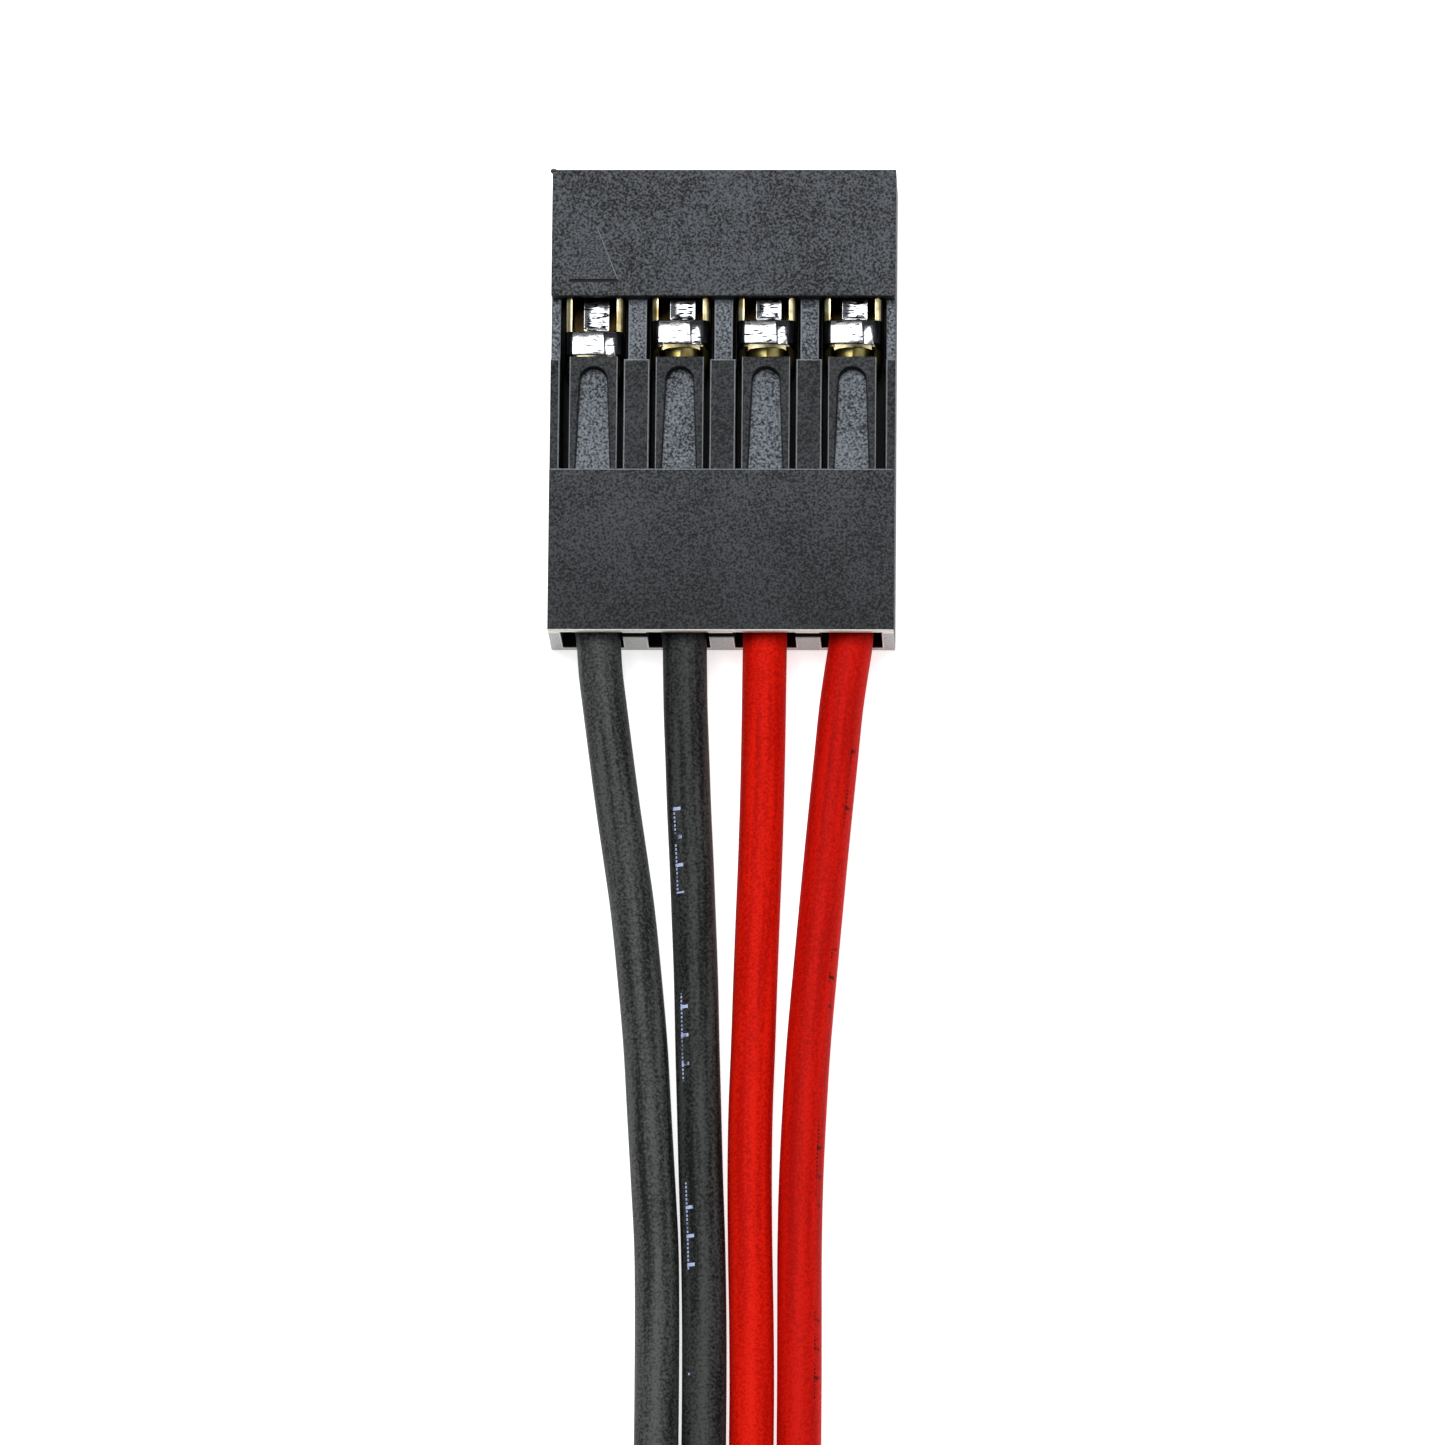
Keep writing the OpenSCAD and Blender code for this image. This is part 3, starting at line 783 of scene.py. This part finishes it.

# %% [markdown]
# ## Moulded plastic
# The housing and its latch fingers are glass-filled PBT, dyed black. The mould gives it three finishes:
# a fine satin on the outside, a coarse spark-eroded grain in the finger scoops and on the ribs between
# the windows, whose paler colour is partly painted sheen, and a smoother, darker face on the fingers and
# the ribs beside them. The mating end comes off a flat polished insert. The lead end is where the mould
# parts: its rim is painted nearly white and the walls between its openings grey, as painted reflections
# of the pale table. On top of the finishes, painted shade darkens the satin towards the lead side and
# fills the cavities, and painted highlights lie on small radii. All the grains are drawn coarser than the
# real 0.02 mm, so that they show.

# %% PBT finishes and painted light
def pbt(name, deep, pale, grain_mm, relief, roughness, contrast, specular, rear_shade_share=0):
    """Black PBT: grains of a given size vary its colour and raise its surface. The last argument sets how
    much painted shade darkens it towards the lead side.
    """
    material, tree, surface = new_material(name, Roughness=roughness, IOR=1.57, Specular_IOR_Level=specular)
    place = place_in(tree)
    grain = noise(tree, place, 1 / (grain_mm * MM), detail=3, roughness=0.6)
    # Flow marks from the moulding: faint clouds 2 mm across
    flow = noise(tree, place, 1 / (2 * MM))
    both = add(tree, "ShaderNodeMath", {0: flow, 1: 0.2, 2: grain}, operation="MULTIPLY_ADD").outputs[0]
    colour = tint(tree, spread(tree, both, 0.6 - contrast, 0.6 + contrast), deep, pale)
    # Painted shade: the moulding is darkened towards the lead side
    parts = add(tree, "ShaderNodeSeparateXYZ", {"Vector": place})
    painted_rear_shade = spread(tree, parts.outputs["Y"], 4 * MM, -7 * MM, top=rear_shade_share)
    colour_surface(tree, surface, tint(tree, painted_rear_shade, colour, "#0c0d0e"))
    raise_surface(tree, surface, grain, relief, grain_mm / 3)
    return material


# The satin finish carries painted shade that deepens towards the lead side
SATIN = pbt("black_pbt_satin", "#121314", "#5a5d62",
            grain_mm=0.07, relief=0.6, roughness=0.55, contrast=0.11, specular=0.1, rear_shade_share=0.6)
# Spark-eroded grain; its paler colour is partly painted sheen from the light that the grain scatters
ERODED_WITH_PAINTED_SHEEN = pbt("black_pbt_spark_eroded_painted_sheen", "#14171a", "#7d848c",
             grain_mm=0.075, relief=1, roughness=0.6, contrast=0.12, specular=0.2)
SMOOTH = pbt("black_pbt_smooth", "#08090a", "#3c3f43",
             grain_mm=0.07, relief=0.5, roughness=0.5, contrast=0.11, specular=0.1)
POLISHED = pbt("black_pbt_polished", "#1a1b1c", "#26272a",
               grain_mm=0.3, relief=0.1, roughness=0.22, contrast=0.3, specular=0.5)
# Painted highlight for small edge radii
PAINTED_EDGE_HIGHLIGHT = pbt("black_pbt_painted_edge_highlight", "#5b5f63", "#868b90",
           grain_mm=0.1, relief=0.3, roughness=0.4, contrast=0.3, specular=0.5)
# Painted reflections of the pale table on the lead end: grey on its walls, nearly white on its rim
PAINTED_REAR_REFLECTION = pbt("black_pbt_painted_rear_reflection", "#4c4c49", "#73736e",
           grain_mm=0.08, relief=0.15, roughness=0.14, contrast=0.3, specular=0.5)
PAINTED_RIM_REFLECTION = pbt("black_pbt_painted_rim_reflection", "#c4c4bd", "#e9e9e1",
          grain_mm=0.1, relief=0.2, roughness=0.2, contrast=0.3, specular=0.6)
# Painted shade for the cavities and slots, the deep ends of the scoops and the arrow's rear face
PAINTED_SHADE = pbt("black_pbt_painted_shade", "#060607", "#101112",
             grain_mm=0.1, relief=0.3, roughness=0.6, contrast=0.3, specular=0.2)
PBT = [SATIN, ERODED_WITH_PAINTED_SHEEN, SMOOTH, POLISHED, PAINTED_EDGE_HIGHLIGHT, PAINTED_REAR_REFLECTION, PAINTED_RIM_REFLECTION, PAINTED_SHADE]
print("plastic finishes:", [m.name for m in PBT])

# %% [markdown]
# ## Housing
# The moulding starts from the CAD shape, because its cavities, windows and pin funnels have to stay
# where they are. The mould's own marks are added: a fleck of flash on one corner, and small radii on the
# outer and upper edges. The radii catch thin lines of light, and the radii round the windows, the latches
# and the arrow's right edge are painted paler as a highlight. A thin dark strip under the arrow that shows
# way 1 is painted shadow along the arrow's raised edge, and the cavities and slots get painted shade.

# %% Housing
WINDOW_Y, STEP_Y = 3.15, 1.25
LATCH_TOP, RIB_TOP, NOTCH_TOP = 2.42, 2.04, 2.2
HALF_W = housing_high.x
FLASH_R = 0.1
MARK_Y, MARK_HALF, SHADOW_STRIP_RISE = 3.61, 0.74, 0.004
MARK_X = WAY[1].x - 0.02
housing = cad_copy("housing", "housing_moulding", merge=0.012)


def outer_or_top(a, b):
    """True for an edge along a top, along an outer corner, or round an opening of the rear face."""
    on_top = any(max(abs(a.z - top), abs(b.z - top)) < 0.005 for top in (RIB_TOP, LATCH_TOP, TOP_Z))
    outside = min(abs(a.x), abs(b.x)) > HALF_W - 0.01
    behind = max(a.y, b.y) < REAR_Y + 0.01
    return on_top or outside or behind


round_where(housing, 0.04, outer_or_top)
round_where(housing, 0.03, lambda a, b: min(a.z, b.z) > TOP_Z + MARK_H / 2, segments=1)
edit(housing)
pick(housing, lambda middle, normal: normal.y < -0.9 and middle.y < REAR_Y + 0.01)
bpy.ops.mesh.bisect(plane_co=(0, 0, NOTCH_TOP), plane_no=(0, 0, 1))
close()
bpy.ops.object.select_all(action="DESELECT")
bpy.ops.mesh.primitive_uv_sphere_add(segments=16, ring_count=10, radius=FLASH_R,
                                     location=(housing_low.x + 0.03, FRONT_Y - 0.02, TOP_Z - 0.12))
flash = bpy.context.object
flash.scale = (1, 0.8, 1.3)
bpy.ops.object.transform_apply(location=True, rotation=True, scale=True)
# A thin dark strip flush with the top: painted shadow along the foot of the raised arrow
painted_shadow_strip = block("painted_shadow_strip", (MARK_X - MARK_HALF, MARK_Y - 0.06, TOP_Z - 0.03),
               (MARK_X + MARK_HALF, MARK_Y + 0.01, TOP_Z + SHADOW_STRIP_RISE))
only(housing)
flash.select_set(True)
painted_shadow_strip.select_set(True)
bpy.ops.object.join()


def on_inner_edge(middle, normal):
    """True on the small radii round the windows and latches, which carry a painted highlight."""
    inside = abs(middle.x) < HALF_W - 0.1 and ROOT_Y - 0.1 < middle.y < WINDOW_Y
    return inside and 0.2 < normal.z < 0.95 and middle.z > RIB_TOP - 0.05


def housing_finish_and_painted_light(middle, normal):
    """Which PBT material a face of the housing gets: a finish, or painted shade, highlight or reflection.
    """
    x, y, z = middle
    # Painted shadow on the strip and painted shade on the arrow's rear face; painted highlight on its right
    # edge
    if abs(z - TOP_Z - SHADOW_STRIP_RISE) < 0.001 or (z > TOP_Z + 0.001 and normal.y < -0.3):
        return PAINTED_SHADE
    if z > TOP_Z + 0.001 and 0.1 < normal.z < 0.98:
        return PAINTED_EDGE_HIGHLIGHT if normal.x > 0 else SATIN
    # The lead end gets painted reflections: nearly white on the rim and round the openings, grey elsewhere
    if y < REAR_Y + 0.05 and normal.y < -0.2:
        around_opening = normal.y > -0.98 and abs(x) < HALF_W - 0.1 and z > 0.2
        return PAINTED_RIM_REFLECTION if z > NOTCH_TOP or around_opening else PAINTED_REAR_REFLECTION
    if y > FRONT_Y - 0.05 and normal.y > 0.5:
        return POLISHED
    if on_inner_edge(middle, normal):
        return PAINTED_EDGE_HIGHLIGHT
    on_top = normal.z > 0.2 and z > RIB_TOP - 0.05
    within = abs(x) < HALF_W - 0.05 and 0.05 < z < TOP_Z - 0.02
    # Faces inside the housing get painted shade
    if REAR_Y + 0.05 < y < FRONT_Y - 0.45 and within and not on_top:
        return PAINTED_SHADE
    if normal.z > 0.9 and STEP_Y < y < WINDOW_Y and z > RIB_TOP - 0.05:
        return ERODED_WITH_PAINTED_SHEEN
    return SMOOTH if normal.z > 0.9 and ROOT_Y < y < STEP_Y and z < TOP_Z - 0.05 else SATIN


paint(housing, PBT, housing_finish_and_painted_light)
keep_flats(to_metres(housing, 30))
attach(housing, "housing")
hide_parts("housing")
print("housing:", len(housing.data.polygons), "faces")

# %% [markdown]
# ## Latch fingers
# Each finger is part of the same moulding, cut free on three sides, so it can spring up when a contact is
# pushed in. A scoop on top lets a pick reach under it. The scoop's floor has the coarse grain.

# %% Fingers
# The side edges, which lie further than this from a finger's middle line, carry a painted highlight
SIDE_EDGE_X = 0.68
for k in WAYS:
    finger = cad_copy(f"latch_finger_{k}", f"finger_{k}")
    round_edges(finger, 0.03)

    def finger_finish_and_painted_light(middle, normal):
        """Coarse on the scoop's floor, with painted sheen; painted shadow round its deep end; painted
        highlight on the side edges.
        """
        aside = abs(middle.x - WAY[k].x)
        if normal.y < -0.3 and abs(normal.z) < 0.6 and aside < 0.5 and middle.z > 2:
            return PAINTED_SHADE
        if normal.z > 0.95 and 2 < middle.z < FINGER_TOP - 0.03:
            return ERODED_WITH_PAINTED_SHEEN
        return PAINTED_EDGE_HIGHLIGHT if on_inner_edge(middle, normal) and aside > SIDE_EDGE_X else SMOOTH

    paint(finger, PBT, finger_finish_and_painted_light)
    keep_flats(to_metres(finger, 30))
    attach(finger, f"latch_{k}")
    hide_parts(f"latch_finger_{k}")
print("four fingers:", len(finger.data.polygons), "faces each")

# %% [markdown]
# ## Contact bodies
# A contact is stamped and folded from 0.18 mm phosphor bronze and plated with gold. The front is a box
# that takes the pin, open on top near the collar. Behind the collar the sheet narrows, spreads in two
# shoulders, and drops to a channel that is rolled round the bare wire and then round the insulation.
# The folded sheet is made as a thin skin first: a block without ends, its corners bevelled, its rear rim
# extruded from section to section. A Solidify modifier then gives the sheet its thickness.

# %% Contact body
GOLD = metal("gold_plated_bronze", "#d8cea6", "#94804e", roughness=0.3, grain_mm=0.12, bump=0.08)
# A darker, olive gold for the neck
DARKER_NECK_GOLD = metal("darker_gold_on_neck", "#7d7347", "#4c4426", roughness=0.34, grain_mm=0.12, bump=0.1)
# Painted shade for the inside of the box
PAINTED_BOX_SHADE = metal("bronze_painted_box_shade", "#4a3c22", "#241c10", roughness=0.4, grain_mm=0.12, bump=0.25)
SHEET_T = 0.18
BOX_HALF, BOX_LOW, BOX_TOP = 0.86, 0.30, 2.15
ROOF_Y, COLLAR_FRONT, COLLAR_REAR = 4.2, 2.5, 1.8
NECK_END = 0.8
sections = [
    # y, half width, bottom, top
    (COLLAR_FRONT - 0.02, 0.73, 0.43, 1.90),
    (COLLAR_REAR - 0.02, 0.73, 0.43, 1.86),
    (1.68, 0.84, 0.43, 1.72),
    (1.38, 0.84, 0.43, 1.58),
    (1.05, 0.70, 0.45, 1.32),
    (NECK_END, 0.57, 0.47, 1.25),
]
body = block("contact_body", (-BOX_HALF, COLLAR_FRONT, BOX_LOW), (BOX_HALF, CONTACT_FRONT_Y, BOX_TOP))
edit(body)
cut_away(body, lambda middle, normal: abs(normal.y) > 0.9)
bpy.ops.mesh.select_mode(type="EDGE")
pick(body, lambda a, b: abs(a.y - b.y) > 1, "edges")
bpy.ops.mesh.bevel(offset=0.2, segments=5, affect="EDGES")
bpy.ops.mesh.select_all(action="SELECT")
bpy.ops.mesh.bisect(plane_co=(0, ROOF_Y, 0), plane_no=(0, 1, 0))
bpy.ops.mesh.select_mode(type="FACE")
cut_away(body, lambda middle, normal: middle.y < ROOF_Y and normal.z > 0.99)
bpy.ops.mesh.select_mode(type="EDGE")
pick(body, lambda a, b: max(a.y, b.y) < COLLAR_FRONT + 0.001, "edges")
for section in sections:
    next_section(body, *section)
thicken(body, SHEET_T, 0.025)
print("box and neck:", len(body.data.polygons), "faces")

# %% [markdown]
# ## Contact bodies: saddle, crimps and dimple
# A saddle closes the neck behind the collar. It is the convex strip that flashes between the collar and
# the finger. Both crimps are rolled tubes: the wire crimp is pressed down in the middle, which makes the
# two lobes of a B, and the insulation crimp stays round with a seam on top.

# %% Saddle, crimps and dimple
BARREL_SIDES = 32


def barrel(name, rear, front, half, low, high, closed=True):
    """A tube along Y between two ends, with or without caps, squeezed to its half width and height."""
    bpy.ops.object.select_all(action="DESELECT")
    bpy.ops.mesh.primitive_cylinder_add(vertices=BARREL_SIDES, radius=1, depth=front - rear,
                                        end_fill_type="NGON" if closed else "NOTHING",
                                        location=(0, (front + rear) / 2, (low + high) / 2),
                                        rotation=(math.pi / 2, 0, 0))
    obj = bpy.context.object
    obj.name = name
    bpy.ops.object.transform_apply(location=False, rotation=True, scale=True)
    obj.scale = (half, 1, (high - low) / 2)
    bpy.ops.object.transform_apply(location=True, rotation=True, scale=True)
    return obj


SADDLE_REAR, SADDLE_BEND, SADDLE_FRONT = 1.0, 1.45, COLLAR_REAR - 0.02
SADDLE_HALF, SADDLE_LOW, SADDLE_TOP, SADDLE_EDGE = 0.6, 0.78, 1.76, 1.35
saddle = barrel("saddle", SADDLE_REAR, SADDLE_FRONT, SADDLE_HALF, SADDLE_LOW, SADDLE_TOP, closed=False)
edit(saddle)
cut_away(saddle, lambda middle, normal: middle.z < SADDLE_EDGE)
bpy.ops.mesh.select_mode(type="VERT")
bpy.ops.mesh.select_all(action="SELECT")
bpy.ops.mesh.bisect(plane_co=(0, SADDLE_BEND, 0), plane_no=(0, 1, 0))
for y, dip in ((SADDLE_BEND, 0.14), (SADDLE_REAR, 0.26)):
    pick(saddle, lambda a, b: max(a.y, b.y) < y + 0.01, "edges")
    bpy.ops.transform.translate(value=(0, 0, -dip))
thicken(saddle, 0.12, 0.02)

WIRE_REAR, WIRE_FRONT, WIRE_FLARE_L = -1.4, NECK_END + 0.05, 0.25
WIRE_HALF, WIRE_LOW, WIRE_TOP = 0.575, 0.48, 1.43
# The top is pressed down along the middle line, and less along the line of corners on each side of it
BESIDE_X = WIRE_HALF * math.sin(2 * math.pi / BARREL_SIDES)
wire_crimp = barrel("wire_crimp", WIRE_REAR, WIRE_FRONT, WIRE_HALF, WIRE_LOW, WIRE_TOP)
edit(wire_crimp)
for y in (WIRE_REAR + WIRE_FLARE_L, WIRE_FRONT - WIRE_FLARE_L):
    bpy.ops.mesh.select_all(action="SELECT")
    bpy.ops.mesh.bisect(plane_co=(0, y, 0), plane_no=(0, 1, 0))
bpy.ops.mesh.select_mode(type="VERT")
for x, press in ((0, 0.26), (BESIDE_X, 0.07)):
    pick(wire_crimp, lambda a, b: max(abs(abs(a.x) - x), abs(abs(b.x) - x)) < 0.01 and min(a.z, b.z) > 1.2,
         "edges")
    bpy.ops.transform.translate(value=(0, 0, -press))
for end_y in (WIRE_REAR, WIRE_FRONT):
    pick(wire_crimp, lambda a, b: abs(a.y - end_y) + abs(b.y - end_y) < 0.01, "edges")
    bpy.ops.transform.resize(value=(1.07, 1, 1.05), center_override=(0, end_y, 0.95))
close()
round_edges(wire_crimp, 0.03, angle=50)

SLEEVE_FRONT, SLEEVE_REAR = -2.2, -4.0
SLEEVE_R = LEAD_D / 2 + SHEET_T + 0.01
sleeve_crimp = barrel("sleeve_crimp", SLEEVE_REAR, SLEEVE_FRONT, SLEEVE_R, PIN_Z - SLEEVE_R,
                      PIN_Z + SLEEVE_R, closed=False)
edit(sleeve_crimp)
cut_away(sleeve_crimp, lambda middle, normal: middle.z > PIN_Z + SLEEVE_R - 0.04 and 0 < middle.x < 0.1)
thicken(sleeve_crimp, SHEET_T, 0.03, angle=50)

STRIP_HALF, STRIP_Z, LIP_W, LIP_RISE = 0.45, PIN_Z - SLEEVE_R, 0.09, 0.1
strip = block("strip", (-STRIP_HALF, SLEEVE_FRONT - 0.02, STRIP_Z),
              (STRIP_HALF, WIRE_REAR + 0.02, STRIP_Z + SHEET_T))
edit(strip)
pick(strip, lambda middle, normal: abs(normal.x) > 0.9)
bpy.ops.mesh.extrude_faces_move(MESH_OT_extrude_faces_indiv={},
                                TRANSFORM_OT_shrink_fatten={"value": LIP_W})
bpy.ops.transform.translate(value=(0, 0, LIP_RISE))
close()
round_edges(strip, 0.04)

DIMPLE_HALF, DIMPLE_Y, DIMPLE_HALF_L, DIMPLE_H = 0.3, 4.9, 0.7, 0.4
FLOOR_Z = BOX_LOW + SHEET_T
dimple = block("dimple", (-DIMPLE_HALF, DIMPLE_Y - DIMPLE_HALF_L, FLOOR_Z - 0.02),
               (DIMPLE_HALF, DIMPLE_Y + DIMPLE_HALF_L, FLOOR_Z + DIMPLE_H))
edit(dimple)
pick(dimple, lambda middle, normal: normal.z > 0.9)
bpy.ops.transform.resize(value=(0.5, 0.2, 1), center_override=(0, DIMPLE_Y, 0))
close()
round_edges(dimple, 0.12, segments=4)

only(body)
for part in (saddle, wire_crimp, sleeve_crimp, strip, dimple):
    part.select_set(True)
bpy.ops.object.join()


def contact_finish_and_painted_shade(middle, normal):
    """Gold, darker on the neck, and painted shade inside the box."""
    if middle.y > COLLAR_FRONT - 0.05 and abs(middle.x) < 0.7 and 0.45 < middle.z < 1.9:
        return PAINTED_BOX_SHADE
    return DARKER_NECK_GOLD if NECK_END < middle.y < COLLAR_REAR else GOLD


paint(body, [GOLD, PAINTED_BOX_SHADE, DARKER_NECK_GOLD], contact_finish_and_painted_shade)
each_way(keep_flats(to_metres(body)), "gold_contact", "contact", "contact_body")

# %% [markdown]
# ## Spring clips
# The clip is thin stainless sheet round the body: a collar whose end folds over the top in a slanted
# flap. It is far smoother than the plated body and mirrors the soft box, so it looks almost white, with
# short dark scratches from the press tool.

# %% Clip
def clip_steel(name, worn):
    """Bright stainless: short dark tool scratches, more of them the lower worn is, on an uneven mirror."""
    material, tree, surface = new_material(name, Metallic=1, Roughness=0.16)
    place = place_in(tree)
    # A scratch runs across the contact, about 0.3 mm long and 0.06 mm wide
    lengthwise, widthwise = 1 / (0.3 * MM), 1 / (0.06 * MM)
    lined = add(tree, "ShaderNodeMapping",
                {"Vector": place, "Scale": (lengthwise, widthwise, lengthwise)})
    scratch = spread(tree, noise(tree, lined.outputs["Vector"], 1), worn, worn + 0.06)
    colour_surface(tree, surface, tint(tree, scratch, "#8f9194", "#0a0a0c"))
    raise_surface(tree, surface, noise(tree, place, 1 / (0.35 * MM)), 0.25, 0.03)
    return material


STEEL, SCORED = clip_steel("scratched_stainless", 0.58), clip_steel("scored_stainless", 0.5)
# Painted dark reflection on the collar's folds, also used for the dark seam beside the flap and under it
DARK_SEAM_AND_PAINTED_FOLD_REFLECTION = metal("stainless_dark_seam_and_painted_fold_reflection", "#1e1f22", "#101113", roughness=0.35, grain_mm=0.1, bump=0.2)
CLIP_T, CORNER_R = 0.12, 0.22
collar = block("collar", (-BOX_HALF, COLLAR_REAR, BOX_LOW), (BOX_HALF, COLLAR_FRONT - 0.01, BOX_TOP))
edit(collar)
cut_away(collar, lambda middle, normal: abs(normal.y) > 0.9)
bpy.ops.mesh.select_mode(type="EDGE")
pick(collar, lambda a, b: abs(a.y - b.y) > 0.5, "edges")
bpy.ops.mesh.bevel(offset=CORNER_R, segments=4, affect="EDGES")
thicken(collar, CLIP_T, 0.02)

FLAP_X, FLAP_W, FLAP_T, FLAP_FRONT, FLAP_SLANT = 0.32, 0.3, 0.05, 2.34, 0.28
SEAM_W, SEAM_LEAN = 0.04, 0.06
edit(collar)
for x in (FLAP_X - SEAM_W, FLAP_X):
    pick(collar, lambda middle, normal: normal.z > 0.9 and middle.z > BOX_TOP - 0.01)
    bpy.ops.mesh.bisect(plane_co=(x, (COLLAR_REAR + COLLAR_FRONT) / 2, 0), plane_no=(1, SEAM_LEAN, 0))
close()
flap = block("flap", (FLAP_X, COLLAR_REAR - 0.05, BOX_TOP - 0.01),
             (FLAP_X + FLAP_W, FLAP_FRONT, BOX_TOP + FLAP_T))
edit(flap, "VERT")
pick(flap, lambda a, b: min(a.y, b.y) > FLAP_FRONT - 0.1 and max(a.x, b.x) < FLAP_X + 0.01, "edges")
bpy.ops.transform.translate(value=(0, FLAP_SLANT, 0))
close()
round_edges(flap, 0.018)
only(collar)
flap.select_set(True)
bpy.ops.object.join()


def clip_finish_and_painted_reflection(middle, normal):
    """Painted dark reflection along the folds and painted shade under the flap, a dark seam beside the
    flap, and bright elsewhere.
    """
    fold = abs(normal.x) > 0.1 and abs(normal.z) > 0.1 and middle.z < BOX_TOP
    under = middle.x > FLAP_X - SEAM_W - 0.01 and abs(middle.z - BOX_TOP) < 0.002
    return DARK_SEAM_AND_PAINTED_FOLD_REFLECTION if fold or under else STEEL


paint(collar, [STEEL, DARK_SEAM_AND_PAINTED_FOLD_REFLECTION], clip_finish_and_painted_reflection)
each_way(keep_flats(to_metres(collar)), "clip_collar", "contact", "contact_clip")

# %% [markdown]
# ## Spring tongues
# The tongue runs forward from the collar and dips into the box, where it presses on the pin. It starts
# as the end of a strip that is extruded along the tongue's path. Its top is then inset and pressed down,
# which leaves a rim on both sides.

# %% Tongue
TONGUE_X, TONGUE_W, TONGUE_Y = 0.06, 0.74, 2.53
TONGUE_TOP, RECESS = BOX_TOP - 0.04, 0.045
tongue_path = [(3.1, -0.01), (3.48, -0.02), (3.8, -0.13), (4.3, -0.32), (4.7, -0.48), (4.95, -0.53),
               (5.25, -0.46), (5.6, -0.34)]
tongue = block("tongue", (TONGUE_X - TONGUE_W / 2, TONGUE_Y, TONGUE_TOP - CLIP_T),
               (TONGUE_X + TONGUE_W / 2, TONGUE_Y + 0.15, TONGUE_TOP))
edit(tongue)
pick(tongue, lambda middle, normal: normal.y > 0.9)
at_y, at_z = TONGUE_Y + 0.15, 0
for y, z in tongue_path:
    bpy.ops.mesh.extrude_region_move(TRANSFORM_OT_translate={"value": (0, y - at_y, z - at_z)})
    at_y, at_z = y, z
pick(tongue, lambda middle, normal: normal.z > 0.8)
bpy.ops.mesh.inset(thickness=0.1, depth=0)
bpy.ops.transform.translate(value=(0, 0, -RECESS))
close()
round_edges(tongue, 0.02, angle=25)


def tongue_finish(middle, normal):
    """Scored in the recess, and bright on the rim."""
    in_recess = abs(middle.x - TONGUE_X) < TONGUE_W / 2 - 0.12
    return SCORED if normal.z > 0.8 and in_recess else STEEL


paint(tongue, [STEEL, SCORED], tongue_finish)
each_way(keep_flats(to_metres(tongue)), "clip_tongue", "tongue", "spring_tongue")

# %% [markdown]
# ## Bare strands in the crimp
# The seven copper strands come out of the insulation, drop into the wire crimp and end just past it.

# %% Strands in the crimp
CONDUCTOR_Z = 0.93
wire_line = through([Vector((0, STUB_Y - 0.2, PIN_Z)), Vector((0, STUB_Y, PIN_Z)),
                     Vector((0, WIRE_REAR, CONDUCTOR_Z)), Vector((0, 0, CONDUCTOR_Z)),
                     Vector((0, NECK_END + 0.12, CONDUCTOR_Z))], 0.2)
wires = tubes("strands", strand_lines(wire_line), STRAND_D / 2, 8)
wires.data.materials.append(COPPER)
each_way(to_metres(wires), "copper_strands", "contact", "conductor")

# %% Size and finish
low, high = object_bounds()
